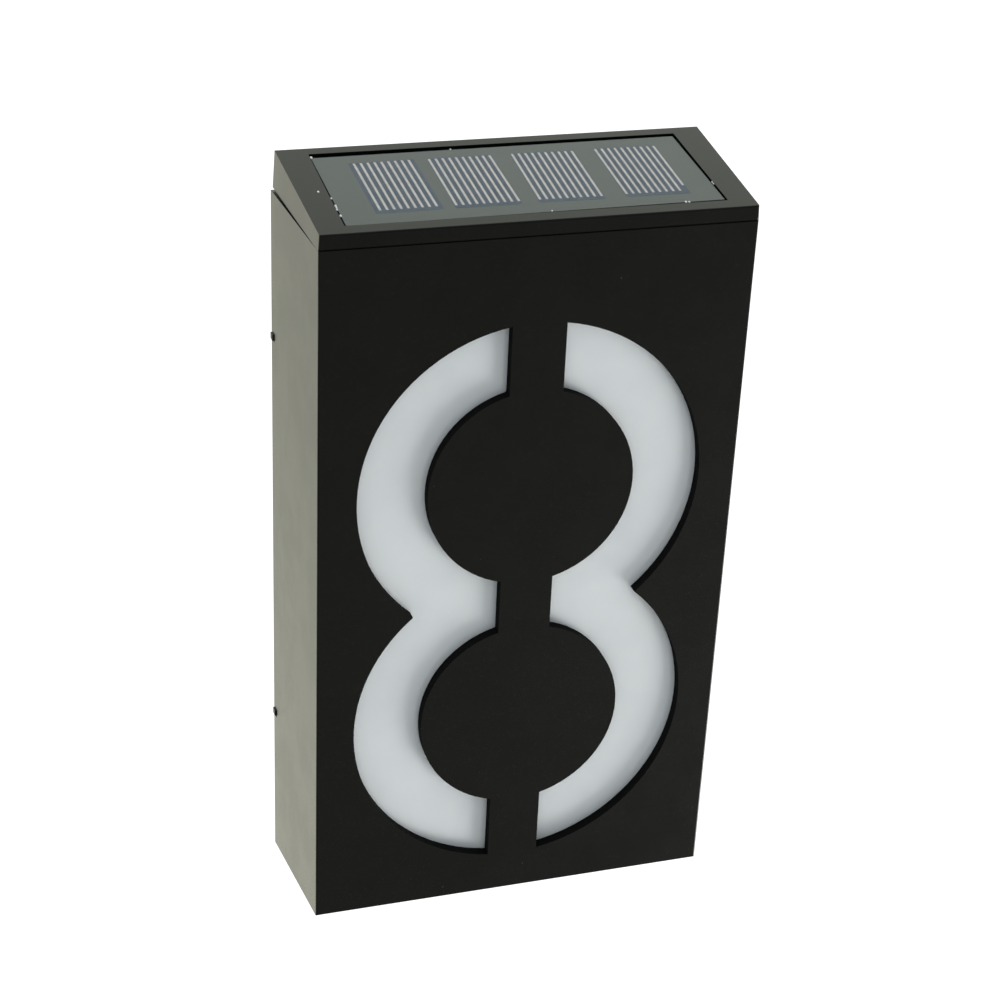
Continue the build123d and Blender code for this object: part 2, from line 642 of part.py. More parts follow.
# Back plate: sits in the housing's rebate. It carries the screw wells, the closed pockets behind the
# keyholes, the battery bay with its ledge and hinge sockets, the switch window, the bosses for the
# control board, ribs, and the tongues that lie in the slots of the housing's sides.
with BuildPart() as back_plate:
    block((-PLATE_HALF, PLATE_HALF), (-PLATE_T, 0), (PLATE_LOW, PLATE_HIGH))
    for z in TONGUE_ZS:
        reach = half_width(0) + TONGUE_PROUD
        block((-reach, reach), (-PLATE_T, 0), (z - TONGUE_H / 2, z + TONGUE_H / 2))
    for x in (-RIB_X, RIB_X):
        rib = (x - RIB_T / 2, x + RIB_T / 2)
        block(rib, (-PLATE_T - RIB_H, -PLATE_T), (BASE + RIB_LOW_H, -RIB_BELOW_KEYS))
    rib_z = (BAY_TOP + CONTROL_Z - CONTROL_H / 2) / 2
    block((-RIB_X, RIB_X), (-PLATE_T - RIB_H, -PLATE_T), (rib_z - RIB_T / 2, rib_z + RIB_T / 2))
    # screw wells
    discs(-PLATE_T, PLATE_POINTS, SCREW_HEAD_R + SCREW_PASS_GAP + WELL_FLOOR, -BOSS_END - PLATE_T)
    discs(0, PLATE_POINTS, SCREW_HEAD_R + SCREW_PASS_GAP, WELL_D, Mode.SUBTRACT)
    discs(0, PLATE_POINTS, SCREW_R + SCREW_PASS_GAP, WELL_D + 2 * WELL_FLOOR, Mode.SUBTRACT)
    # keyholes and their pockets
    pocket_out = POCKET_HALF + POCKET_WALL
    for x, z in KEY_POINTS:
        block(
            (x - pocket_out, x + pocket_out),
            (POCKET_END - POCKET_WALL, -PLATE_T),
            (z - pocket_out, z + KEY_RISE + pocket_out),
        )
        block(
            (x - POCKET_HALF, x + POCKET_HALF),
            (POCKET_END, -PLATE_T),
            (z - POCKET_HALF, z + KEY_RISE + POCKET_HALF),
            Mode.SUBTRACT,
        )
    with BuildSketch(depth_plane(0)):
        with Locations(*KEY_POINTS):
            Circle(KEY_R)
        with Locations(*[(x, z + KEY_RISE) for x, z in KEY_POINTS]):
            Circle(KEY_SLOT_R)
        with Locations(*[(x, z + KEY_RISE / 2) for x, z in KEY_POINTS]):
            Rectangle(2 * KEY_SLOT_R, KEY_RISE)
    extrude(amount=PLATE_T, mode=Mode.SUBTRACT)
    # battery bay: ledge, round-bottomed trough and the door's recess with its hinge trough
    frame_half = DOOR_HALF + DOOR_GAP + LEDGE_SIDE
    block(
        (-frame_half, frame_half),
        (LEDGE_BACK, -PLATE_T),
        (DOOR_LOW - DOOR_GAP - BAY_RIM, BAY_TOP),
    )
    with BuildSketch(Plane.YZ.offset(BAY_LEFT - BAY_WALL)):
        with Locations((CELL_Y, BAY_Z)):
            Circle(BAY_R + BAY_WALL)
        with Locations(((CELL_Y + LEDGE_Y) / 2, BAY_Z)):
            Rectangle(LEDGE_Y - CELL_Y, 2 * (BAY_R + BAY_WALL))
    extrude(amount=BAY_LENGTH + 2 * BAY_WALL)
    with BuildSketch(Plane.YZ.offset(BAY_LEFT)):
        with Locations((CELL_Y, BAY_Z)):
            Circle(BAY_R)
        with Locations((CELL_Y / 2, BAY_Z)):
            Rectangle(-CELL_Y, 2 * BAY_R)
    extrude(amount=BAY_LENGTH, mode=Mode.SUBTRACT)
    recess = (-DOOR_HALF - DOOR_GAP, DOOR_HALF + DOOR_GAP)
    block(recess, (LEDGE_Y, 0), (DOOR_LOW - DOOR_GAP, HINGE_Z + HINGE_ROOM), Mode.SUBTRACT)
    block(recess, (HINGE_TROUGH, 0), (HINGE_Z - HINGE_ROOM, HINGE_Z + HINGE_ROOM), Mode.SUBTRACT)
    with BuildSketch(Plane.YZ.offset(-DOOR_HALF - DOOR_GAP - HINGE_PIN_L)):
        with Locations((-HINGE_DEPTH, HINGE_Z)):
            Circle(HINGE_PIN_R + HINGE_RUN)
    extrude(amount=2 * (DOOR_HALF + DOOR_GAP + HINGE_PIN_L), mode=Mode.SUBTRACT)
    discs(0, [(0, DOOR_LOW - DOOR_GAP)], SCOOP_R, SCOOP_D, Mode.SUBTRACT)
    # slots for the contacts' tails
    for end, out in ((BAY_LEFT, -1), (BAY_RIGHT, 1)):
        through = sorted((end, end + out * 2 * BAY_WALL))
        slot = TAIL_W / 2 + TAIL_GAP
        high = CONTACT_T / 2 + TAIL_GAP
        block(through, (CELL_Y - slot, CELL_Y + slot), (BAY_Z - high, BAY_Z + high), Mode.SUBTRACT)
    # bosses for the control board
    discs(-PLATE_T, CONTROL_POINTS, CONTROL_BOSS_R, -PLATE_T - CONTROL_Y)
    boss_hole = CONTROL_SCREW_L - CONTROL_T + SCREW_GAP
    discs(CONTROL_Y + boss_hole, CONTROL_POINTS, SCREW_R + SCREW_GAP, boss_hole, Mode.SUBTRACT)
    # switch window: a sunk finger well with a slot for the knob
    slot_w = KNOB_STEM_W + KNOB_TRAVEL + 2 * SLOT_GAP
    slot_h = KNOB_STEM_W + 2 * SLOT_GAP
    with BuildSketch(depth_plane(0)):
        with Locations((SWITCH_X, CONTROL_Z)):
            RectangleRounded(slot_w + 2 * WINDOW_MARGIN, slot_h + 2 * WINDOW_MARGIN, WINDOW_MARGIN / 2)
    extrude(amount=WINDOW_SINK, mode=Mode.SUBTRACT)
    with BuildSketch(depth_plane(0)):
        with Locations((SWITCH_X, CONTROL_Z)):
            Rectangle(slot_w, slot_h)
    extrude(amount=PLATE_T, mode=Mode.SUBTRACT)
save(back_plate, "back_plate")

with BuildPart() as back_plate_screws:
    discs(-SCREW_PASS_GAP, PLATE_POINTS, SCREW_HEAD_R, SCREW_HEAD_H)
    discs(-WELL_D, PLATE_POINTS, SCREW_R, SCREW_LENGTH)
    crosses(-SCREW_PASS_GAP, PLATE_POINTS)
save(back_plate_screws, "back_plate_screws")

# Seal: a thin foam frame squeezed between the plate's rim and the housing's ledge.
SEAL_W = SIDE_WALL - LIP_T - PLATE_GAP
SEAL_HALF = half_width(0) - LIP_T - PLATE_GAP / 2
SEAL_LOW = REBATE_LOW + PLATE_GAP / 2
with BuildPart() as back_seal:
    block((-SEAL_HALF, SEAL_HALF), (-REBATE, -PLATE_T), (SEAL_LOW, PLATE_HIGH))
    block(
        (SEAL_W - SEAL_HALF, SEAL_HALF - SEAL_W),
        (-REBATE, -PLATE_T),
        (SEAL_LOW + SEAL_W, PLATE_HIGH - SEAL_W),
        Mode.SUBTRACT,
    )
save(back_seal, "back_seal")

# Cell: turned profile about its own axis, with its shoulder and nub to the left.
with BuildPart() as battery:
    nub_end = BAY_LEFT + CONTACT_T
    can = nub_end + NUB_H
    with BuildSketch(Plane.XY.offset(BAY_Z)):
        with BuildLine():
            Polyline(
                (nub_end, CELL_Y),
                (nub_end, CELL_Y + NUB_R),
                (can, CELL_Y + NUB_R),
                (can, CELL_Y + CELL_R - CELL_SHOULDER),
                (can + CELL_SHOULDER, CELL_Y + CELL_R),
                (can + CELL_LENGTH, CELL_Y + CELL_R),
                (can + CELL_LENGTH, CELL_Y),
                close=True,
            )
        make_face()
    revolve(axis=Axis((0, CELL_Y, BAY_Z), (1, 0, 0)))
save(battery, "battery")


def contact_leaf(end, out):
    """A flat leaf on the bay's end wall with a tail that passes out through the wall."""
    leaf = sorted((end, end - out * CONTACT_T))
    tail = sorted((end - out * CONTACT_T, end + out * (BAY_WALL + TAIL_L)))
    for x, depth, height in ((leaf, CONTACT_W, CONTACT_H), (tail, TAIL_W, CONTACT_T)):
        block(x, (CELL_Y - depth / 2, CELL_Y + depth / 2), (BAY_Z - height / 2, BAY_Z + height / 2))


with BuildPart() as battery_plus_contact:
    contact_leaf(BAY_LEFT, -1)
save(battery_plus_contact, "battery_plus_contact")

# Minus contact: a leaf like the other, with a cone-shaped coil spring of one wire between it and the cell.
SPRING_START = BAY_RIGHT - CONTACT_T - WIRE_R - SPRING_SEAT_GAP
SPRING_RUN = SPRING_ROOM - 2 * (WIRE_R + SPRING_SEAT_GAP)


def spring_place(quarters):
    """Where the spring's wire is and which way it runs, after quarter turns counted from the leaf."""
    angle = quarters * math.pi / 2
    out = Vector(0, math.cos(angle), math.sin(angle))
    round_about = Vector(0, -math.sin(angle), math.cos(angle))
    radius = SPRING_R + (SPRING_TIP_R - SPRING_R) * quarters / SPRING_QUARTERS
    place = Vector(SPRING_START - SPRING_RUN * quarters / SPRING_QUARTERS, CELL_Y, BAY_Z) + out * radius
    steps = Vector(-SPRING_RUN, 0, 0) + out * (SPRING_TIP_R - SPRING_R)
    along = steps / SPRING_QUARTERS + round_about * (radius * math.pi / 2)
    return place, along.normalized()


def biarc(a, along_a, b, along_b):
    """Two tangent arcs from point a to point b, with the directions that they leave and arrive in."""
    across = b - a
    both = along_a + along_b
    spread = 2 * (1 - along_a.dot(along_b))
    root = math.sqrt(across.dot(both) ** 2 + spread * across.dot(across))
    reach = (root - across.dot(both)) / spread
    bend_a = a + along_a * reach
    bend_b = b - along_b * reach
    middle = (bend_a + bend_b) / 2
    TangentArc(a, middle, tangent=along_a)
    TangentArc(middle, b, tangent=bend_b - bend_a)


fine = 16  # points measured on each quarter turn
places = [spring_place(i / fine)[0] for i in range(SPRING_QUARTERS * fine + 1)]
gaps = [(places[i] - places[j]).length for j in range(len(places)) for i in range(j + 2 * fine, len(places))]
print("spring, least gap to itself", round(min(gaps) - 2 * WIRE_R, 2))

with BuildPart() as battery_minus_contact:
    contact_leaf(BAY_RIGHT, 1)
    with BuildLine() as coil:
        for i in range(SPRING_QUARTERS):
            biarc(*spring_place(i), *spring_place(i + 1))
    with BuildSketch(Plane(origin=coil.line @ 0, z_dir=coil.line % 0)):
        RegularPolygon(WIRE_R, WIRE_SIDES)
    sweep(path=coil.line)
save(battery_minus_contact, "battery_minus_contact")

# Door: hangs on two pins at its top edge; its outside has finger grips near the bottom.
with BuildPart() as battery_door:
    block((-DOOR_HALF, DOOR_HALF), (DOOR_INNER, -DOOR_SUNK), (DOOR_LOW, HINGE_Z))
    with BuildSketch(Plane.YZ.offset(-DOOR_HALF)):
        with Locations((-HINGE_DEPTH, HINGE_Z)):
            Circle(HINGE_R)
    extrude(amount=2 * DOOR_HALF)
    with BuildSketch(Plane.YZ.offset(-DOOR_HALF - HINGE_PIN_L)):
        with Locations((-HINGE_DEPTH, HINGE_Z)):
            Circle(HINGE_PIN_R)
    extrude(amount=2 * (DOOR_HALF + HINGE_PIN_L))
    with BuildSketch(depth_plane(-DOOR_SUNK)):
        with Locations(*[(0, DOOR_LOW + GRIP_UP + i * GRIP_PITCH) for i in range(GRIP_COUNT)]):
            SlotOverall(GRIP_W, GRIP_H)
    extrude(amount=GRIP_D, mode=Mode.SUBTRACT)
save(battery_door, "battery_door")

# Control board with its screws, chip and coil
with BuildPart() as control_board:
    with BuildSketch(depth_plane(CONTROL_Y)):
        with Locations((0, CONTROL_Z)):
            Rectangle(CONTROL_W, CONTROL_H)
        with Locations(*CONTROL_POINTS):
            Circle(SCREW_R + SCREW_PASS_GAP, mode=Mode.SUBTRACT)
    extrude(amount=CONTROL_T)
save(control_board, "control_board")

CONTROL_FACE = CONTROL_Y - CONTROL_T  # the board's face towards the front
with BuildPart() as control_board_screws:
    discs(CONTROL_FACE, CONTROL_POINTS, SCREW_HEAD_R, SCREW_HEAD_H)
    discs(CONTROL_FACE + CONTROL_SCREW_L, CONTROL_POINTS, SCREW_R, CONTROL_SCREW_L)
    crosses(CONTROL_FACE - SCREW_HEAD_H + CROSS_D, CONTROL_POINTS)
save(control_board_screws, "control_board_screws")

with BuildPart() as driver_chip:
    with BuildSketch(depth_plane(CONTROL_FACE)):
        with Locations((CHIP_X, CONTROL_Z)):
            Rectangle(CHIP_SIZE[0], CHIP_SIZE[1])
    extrude(amount=CHIP_SIZE[2])
    chamfer(driver_chip.faces().sort_by(Axis.Y)[0].edges(), length=CHIP_CHAMFER)
save(driver_chip, "driver_chip")

# Coil: a ferrite bobbin whose winding lies between two flanges.
with BuildPart() as inductor:
    discs(CONTROL_FACE, [(COIL_X, CONTROL_Z)], COIL_R, COIL_FLANGE_T)
    discs(CONTROL_FACE - COIL_FLANGE_T, [(COIL_X, CONTROL_Z)], COIL_WOUND_R, COIL_H - 2 * COIL_FLANGE_T)
    discs(CONTROL_FACE - COIL_H + COIL_FLANGE_T, [(COIL_X, CONTROL_Z)], COIL_R, COIL_FLANGE_T)
save(inductor, "inductor")

# Slide switch: a small can on the wall side of the board; the knob's foot runs in its hollow.
SWITCH_TOP = CONTROL_Y + SWITCH_T
FOOT_TOP = SWITCH_TOP - SWITCH_SKIN - KNOB_GAP
FOOT_LOW = FOOT_TOP - KNOB_BASE_T
with BuildPart() as slide_switch:
    low_z, high_z = CONTROL_Z - SWITCH_H / 2, CONTROL_Z + SWITCH_H / 2
    block((SWITCH_X - SWITCH_W / 2, SWITCH_X + SWITCH_W / 2), (CONTROL_Y, SWITCH_TOP), (low_z, high_z))
    room_w = (KNOB_W + KNOB_TRAVEL) / 2 + KNOB_GAP
    room_h = KNOB_H / 2 + KNOB_GAP
    block(
        (SWITCH_X - room_w, SWITCH_X + room_w),
        (FOOT_LOW - KNOB_GAP, FOOT_TOP + KNOB_GAP),
        (CONTROL_Z - room_h, CONTROL_Z + room_h),
        Mode.SUBTRACT,
    )
    gate_w = (KNOB_STEM_W + KNOB_TRAVEL) / 2 + KNOB_GAP
    gate_h = KNOB_STEM_W / 2 + KNOB_GAP
    block(
        (SWITCH_X - gate_w, SWITCH_X + gate_w),
        (FOOT_TOP, SWITCH_TOP),
        (CONTROL_Z - gate_h, CONTROL_Z + gate_h),
        Mode.SUBTRACT,
    )
save(slide_switch, "slide_switch")

with BuildPart() as switch_knob:
    block(
        (KNOB_X - KNOB_W / 2, KNOB_X + KNOB_W / 2),
        (FOOT_LOW, FOOT_TOP),
        (CONTROL_Z - KNOB_H / 2, CONTROL_Z + KNOB_H / 2),
    )
    stem = KNOB_STEM_W / 2
    block((KNOB_X - stem, KNOB_X + stem), (FOOT_LOW, -KNOB_SUNK), (CONTROL_Z - stem, CONTROL_Z + stem))
save(switch_knob, "switch_knob")


def lead(points, name):
    """An insulated lead of straight runs joined by tangent arcs, as large as the runs allow."""
    corners = [Vector(*p) for p in points]
    runs = [b - a for a, b in zip(corners, corners[1:])]
    radii = []
    for a, b in zip(runs, runs[1:]):
        turn = math.radians(a.get_angle(b))
        radii.append(0.45 * min(a.length, b.length) / math.tan(turn / 2))
    print(name, "radii", [round(r, 1) for r in radii])
    with BuildPart() as wire:
        with BuildLine() as path:
            FilletPolyline(*corners, radius=radii)
        with BuildSketch(Plane(origin=path.line @ 0, z_dir=path.line % 0)):
            RegularPolygon(LEAD_R, WIRE_SIDES)
        sweep(path=path.line)
    save(wire, name)


# Leads: the panel's pair comes down through the lid's window, the cell's pair rises from the
# contacts' tails, and the light board's pair crosses the gap behind the tray.
PANEL_UNDER = lid_top_z(PANEL_Y - LEAD_R, PANEL_SINK + COVER_T + BOARD_T + SCREW_GAP)
TAIL_X = BAY_RIGHT + BAY_WALL + TAIL_L - LEAD_R
TAIL_TOP = BAY_Z + CONTACT_T / 2
LIGHT_FACE = TRAY_BACK + LIGHT_BOARD_T
PAD_Z = CONTROL_Z + PAD_RISE
ARCH_Y = CONTROL_FACE - LEAD_ARCH
for colour, s in (("red", -1), ("black", 1)):
    panel_x = s * PANEL_PAD_X
    board_x = PANEL_LEADS_IN - CONTROL_W / 2 + s * PANEL_LEADS_APART
    panel_route = (
        (panel_x, PANEL_Y, PANEL_UNDER),
        (panel_x, PANEL_Y, PANEL_UNDER - 14),
        (board_x + 5, LIGHT_FACE + 5.5, PANEL_UNDER - 30),
        (board_x, LIGHT_FACE + 8, CONTROL_Z + 22),
        (board_x, ARCH_Y, PAD_Z),
        (board_x, CONTROL_FACE, PAD_Z),
    )
    lead(panel_route, f"panel_lead_{colour}")
    pad = (s * (CONTROL_W / 2 - LEAD_ARCH), CONTROL_Z - s * PAD_DROP)
    cell_route = (
        (s * TAIL_X, CELL_Y, TAIL_TOP),
        (s * TAIL_X, CELL_Y, TAIL_TOP + 20),
        (s * (CONTROL_W / 2 + 1), CONTROL_FACE - 4, CONTROL_Z - 11),
        (pad[0], ARCH_Y, pad[1]),
        (pad[0], CONTROL_FACE, pad[1]),
    )
    lead(cell_route, f"battery_lead_{colour}")
    light_x = LIGHT_LEADS_X + s * LIGHT_LEADS_APART
    light_route = (
        (light_x, LIGHT_FACE, CONTROL_Z + LIGHT_PAD_RISE),
        (light_x, LIGHT_FACE + 6, CONTROL_Z + LIGHT_PAD_RISE),
        (light_x, ARCH_Y, PAD_Z),
        (light_x, CONTROL_FACE, PAD_Z),
    )
    lead(light_route, f"light_lead_{colour}")
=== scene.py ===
import math

import bmesh
import bpy
from mathutils import Matrix, Vector


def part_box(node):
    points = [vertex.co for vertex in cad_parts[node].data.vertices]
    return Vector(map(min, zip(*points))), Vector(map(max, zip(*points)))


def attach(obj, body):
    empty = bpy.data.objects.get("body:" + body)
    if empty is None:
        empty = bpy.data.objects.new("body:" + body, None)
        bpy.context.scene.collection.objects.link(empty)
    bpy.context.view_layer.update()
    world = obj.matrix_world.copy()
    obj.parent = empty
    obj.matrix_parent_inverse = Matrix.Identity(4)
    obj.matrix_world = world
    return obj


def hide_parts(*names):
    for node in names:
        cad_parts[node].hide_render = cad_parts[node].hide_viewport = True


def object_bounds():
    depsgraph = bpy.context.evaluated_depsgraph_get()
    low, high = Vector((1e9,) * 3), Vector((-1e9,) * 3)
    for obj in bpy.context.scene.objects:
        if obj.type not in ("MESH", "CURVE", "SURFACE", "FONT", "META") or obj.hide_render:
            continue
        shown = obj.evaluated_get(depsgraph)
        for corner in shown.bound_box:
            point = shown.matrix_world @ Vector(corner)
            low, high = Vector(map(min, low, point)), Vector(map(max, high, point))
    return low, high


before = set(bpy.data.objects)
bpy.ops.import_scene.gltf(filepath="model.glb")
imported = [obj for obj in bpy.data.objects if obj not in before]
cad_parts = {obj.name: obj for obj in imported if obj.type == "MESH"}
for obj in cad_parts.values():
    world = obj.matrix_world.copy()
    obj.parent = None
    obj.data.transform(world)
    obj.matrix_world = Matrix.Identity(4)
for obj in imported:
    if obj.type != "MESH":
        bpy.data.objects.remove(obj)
solid_box = [list(corner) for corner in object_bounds()]

# The stage: a camera that looks down at the light from its upper left, a plain pale floor well below
# it, because it hangs on a wall, and two large soft lamps in a white room. The floor that a glossy
# surface mirrors is darker near the front, as if a flag stood there, and fades far behind.
MM = 0.001
CAMERA_PLACE = Vector((-0.154187, -0.485023, 0.208565))
CAMERA_AIM = Vector((-0.007842, -0.0432, -0.033806))
CAMERA_ROLL = math.radians(2.702)
CAMERA_LENS = 78.925
CAMERA_NEAR = 0.01
FLOOR_DROP = 1.6
FLOOR_SIZE = 24.0
ROOM_FOR_DIFFUSE = 0.55
FLOOR_SHADE = 0.82
FLOOR_GLOW = 0.7
FLOOR_STRENGTH = 1.55
FLOOR_SHEEN = (1.0, 0.995, 0.80, 1.0)
NEAR_FLAG = (-2700.0, -1300.0, 0.2)  # where its soft edge starts and ends, and what it lets through
FAR_FADE = (2000.0, 3900.0, 0.84)
LAMP_SIZE = 1.2
LOW_LAMP = Vector((1.52, -0.74, -1.62))
LOW_LAMP_AIM = Vector((0, 0, -0.08))
LOW_LAMP_POWER = 66.0
HIGH_LAMP = Vector((-0.6, 0.2, 1.5))
HIGH_LAMP_AIM = Vector((0, 0, 0))
HIGH_LAMP_POWER = 8.0
ROOM_SHEEN = (1.02, 1.07, 0.96, 1.0)
ROOM_SHADE = (0.90, 0.96, 1.0, 1.0)
WHITE = (1.0, 1.0, 1.0, 1.0)
FACTOR = 0  # these four are the sockets that a Mix node blends colours with
COLOUR_A = 6
COLOUR_B = 7
COLOUR_OUT = 2
NOISE_RANGE = (0.3, 0.7)  # where nearly all values of a noise lie
PATCH_RANGE = (0.35, 0.7)


def facing(place, aim):
    """The placing of something that stands in one place and looks at another."""
    return Matrix.Translation(place) @ (aim - place).to_track_quat("-Z", "Y").to_matrix().to_4x4()


camera = bpy.data.objects.new("camera", bpy.data.cameras.new("camera"))
bpy.context.scene.collection.objects.link(camera)
camera.data.lens = CAMERA_LENS
camera.data.clip_start = CAMERA_NEAR
camera.matrix_world = facing(CAMERA_PLACE, CAMERA_AIM) @ Matrix.Rotation(CAMERA_ROLL, 4, "Z")
bpy.context.scene.camera = camera
bpy.context.scene.view_settings.view_transform = "Standard"


class Wire:
    """One output in a node tree. Arithmetic on it adds the Math node that does the sum."""

    def __init__(self, finish, socket):
        self.finish = finish
        self.socket = socket

    def math(self, operation, a, b):
        return self.finish.add("Math", {"operation": operation}, {0: a, 1: b})

    def __add__(self, other):
        return self.math("ADD", self, other)

    def __sub__(self, other):
        return self.math("SUBTRACT", self, other)

    def __rsub__(self, other):
        return self.math("SUBTRACT", other, self)

    def __mul__(self, other):
        return self.math("MULTIPLY", self, other)

    def __gt__(self, other):
        return self.math("GREATER_THAN", self, other)

    def __lt__(self, other):
        return self.math("LESS_THAN", self, other)

    def __abs__(self):
        return self.math("ABSOLUTE", self, 0.0)

    def __mod__(self, other):
        return self.math("FLOORED_MODULO", self, other)

    def or_more(self, other):
        return self.math("MAXIMUM", self, other)


class Finish:
    """A node tree under construction, for a material or for the room."""

    def __init__(self, tree):
        self.tree = tree

    def add(self, kind, settings, sockets, output=0):
        """A node of a kind: its settings are set first, then the values or links of its sockets."""
        node = self.tree.nodes.new("ShaderNode" + kind)
        for name, value in settings.items():
            setattr(node, name, value)
        self.fill(node, sockets)
        return Wire(self, node.outputs[output])

    def fill(self, node, sockets):
        """Sets or links the sockets of a node."""
        for name, value in sockets.items():
            if isinstance(value, Wire):
                self.tree.links.new(value.socket, node.inputs[name])
            else:
                node.inputs[name].default_value = value

    def surface(self, sockets):
        """Sets or links the sockets of the Principled shader."""
        self.fill(self.tree.nodes["Principled BSDF"], sockets)

    def blend(self, mask, low, high):
        """A colour that goes from low to high with the mask."""
        sockets = {FACTOR: mask, COLOUR_A: low, COLOUR_B: high}
        return self.add("Mix", {"data_type": "RGBA"}, sockets, COLOUR_OUT)

    def spot(self):
        """The object coordinates."""
        return self.add("TexCoord", {}, {}, "Object")

    def places(self):
        """The three object coordinates, in millimetres."""
        return [self.add("SeparateXYZ", {}, {0: self.spot()}, i) * (1 / MM) for i in range(3)]

    def noise(self, size, detail=2.0, roughness=0.5):
        """Cloudy noise whose lumps are about this many millimetres across."""
        lumps = {"Scale": 1 / (size * MM), "Detail": detail, "Roughness": roughness}
        return self.add("TexNoise", {}, {"Vector": self.spot(), **lumps})

    def pores(self, size):
        """The distance to the nearest of many scattered points, this many millimetres apart."""
        return self.add("TexVoronoi", {}, {"Vector": self.spot(), "Scale": 1 / (size * MM)})

    def spread(self, wire, low, high, to_low=0.0, to_high=1.0):
        """Takes the wire's stretch from low to high smoothly to the stretch from to_low to to_high."""
        limits = {"From Min": low, "From Max": high, "To Min": to_low, "To Max": to_high}
        return self.add("MapRange", {"interpolation_type": "SMOOTHSTEP"}, {"Value": wire, **limits})

    def between(self, noise, low, high):
        """Values that a noise spreads over the stretch from low to high."""
        return self.spread(noise, *NOISE_RANGE, low, high)

    def patches(self, noise):
        """A mask of patches, 0 to 1, made from a noise."""
        return self.spread(noise, *PATCH_RANGE)

    def bump(self, height, strength, depth):
        """A bump of the surface; depth is in millimetres."""
        return self.add("Bump", {}, {"Height": height, "Strength": strength, "Distance": depth * MM})


def seen(finish):
    """1 for the rays that see, mirror or look through to the background, and 0 for those that light."""
    kinds = ("Is Camera Ray", "Is Glossy Ray", "Is Transmission Ray")
    camera_ray, glossy_ray, through_ray = [finish.add("LightPath", {}, {}, kind) for kind in kinds]
    return camera_ray.or_more(glossy_ray).or_more(through_ray)


def mirrored(finish):
    """1 for the rays that a glossy surface sends out."""
    return finish.add("LightPath", {}, {}, "Is Glossy Ray")


room = bpy.data.worlds.new("room")
room.use_nodes = True
bpy.context.scene.world = room
air = Finish(room.node_tree)
air.fill(room.node_tree.nodes["Background"], {
    "Color": air.blend(mirrored(air), air.blend(seen(air), ROOM_SHADE, WHITE), ROOM_SHEEN),
    "Strength": air.spread(seen(air), 0.0, 1.0, ROOM_FOR_DIFFUSE, 1.0),
})


def stage_lamp(name, place, aim, power):
    """A square soft lamp."""
    lamp = bpy.data.objects.new(name, bpy.data.lights.new(name, "AREA"))
    bpy.context.scene.collection.objects.link(lamp)
    lamp.data.size = LAMP_SIZE
    lamp.data.energy = power
    lamp.matrix_world = facing(place, aim)


stage_lamp("low_lamp", LOW_LAMP, LOW_LAMP_AIM, LOW_LAMP_POWER)
stage_lamp("high_lamp", HIGH_LAMP, HIGH_LAMP_AIM, HIGH_LAMP_POWER)

floor_mesh = bmesh.new()
bmesh.ops.create_grid(floor_mesh, x_segments=1, y_segments=1, size=FLOOR_SIZE / 2)
bmesh.ops.translate(floor_mesh, verts=floor_mesh.verts, vec=(0, 0, solid_box[0][2] - FLOOR_DROP))
floor = bpy.data.objects.new("floor", bpy.data.meshes.new("floor"))
floor_mesh.to_mesh(floor.data)
floor_mesh.free()
bpy.context.scene.collection.objects.link(floor)
paint = bpy.data.materials.new("floor_paint")
paint.use_nodes = True
under = Finish(paint.node_tree)
ground = under.add("BsdfDiffuse", {}, {"Color": (FLOOR_SHADE, FLOOR_SHADE, FLOOR_SHADE, 1.0)})
to_rear = under.places()[1]
edge_start, edge_end, let_through = NEAR_FLAG
flag = under.spread(to_rear, edge_start, edge_end, 1.0, let_through).or_more(to_rear > 0.0)
edge_start, edge_end, let_through = FAR_FADE
fade = under.spread(to_rear, edge_start, edge_end, 1.0, let_through)
glow = under.add("Emission", {}, {
    "Color": under.blend(mirrored(under), WHITE, FLOOR_SHEEN),
    "Strength": (1 - mirrored(under) * (1 - flag * fade)) * FLOOR_STRENGTH,
})
floor_look = under.add("MixShader", {}, {0: seen(under) * FLOOR_GLOW, 1: ground, 2: glow})
under.fill(paint.node_tree.nodes["Material Output"], {"Surface": floor_look})
floor.data.materials.append(paint)

# Housing: the tall box of the light, one moulding in black plastic with a fine satin grain. Its shape
# is the solid's own, with the outer edges softened as the mould leaves them. The walls of the
# stencilled numeral are duller than the rest.
BLACK = (0.0028, 0.0028, 0.0030, 1.0)
BLACK_WORN = (0.0062, 0.0062, 0.0058, 1.0)
SPECK = (0.046, 0.046, 0.043, 1.0)
CUT_BLACK = (0.0034, 0.0034, 0.0035, 1.0)
PLASTIC_IOR = 1.5
PLASTIC_TINT = (0.14, 0.14, 0.145, 1.0)
PLASTIC_ROUGH = (0.20, 0.27)
GRAIN_SIZE = 0.35
GRAIN_DEPTH = 0.010
CLOUD_SIZE = 12.0
CLOUD_RANGE = (0.35, 0.65)
CLOUD_TONE = 0.15
DUST_SIZE = 1.1
DUST_RANGE = (0.55, 0.75)
DUST_TONE = 0.6
SPECK_SIZE = 1.8
SPECK_RANGE = (0.79, 0.81)
FRONT_EDGE_R = 0.2
REAR_EDGE_R = 0.15
FACE_REACH = 0.05 * MM  # an edge this near to a face belongs to it
CUT_REACH = 46.0 * MM  # of the numeral's walls, to each side
CUT_START = 0.2 * MM
CUT_PAST_DIFFUSER = 0.1 * MM
UPRIGHT = 0.1  # a face whose normal leans less than this stands across the front
WELD = 0.002 * MM
FLAT = math.radians(0.4)
SHARP = math.radians(32)


def new_material(name):
    """A new material and its node tree."""
    material = bpy.data.materials.new(name)
    material.use_nodes = True
    return material, Finish(material.node_tree)


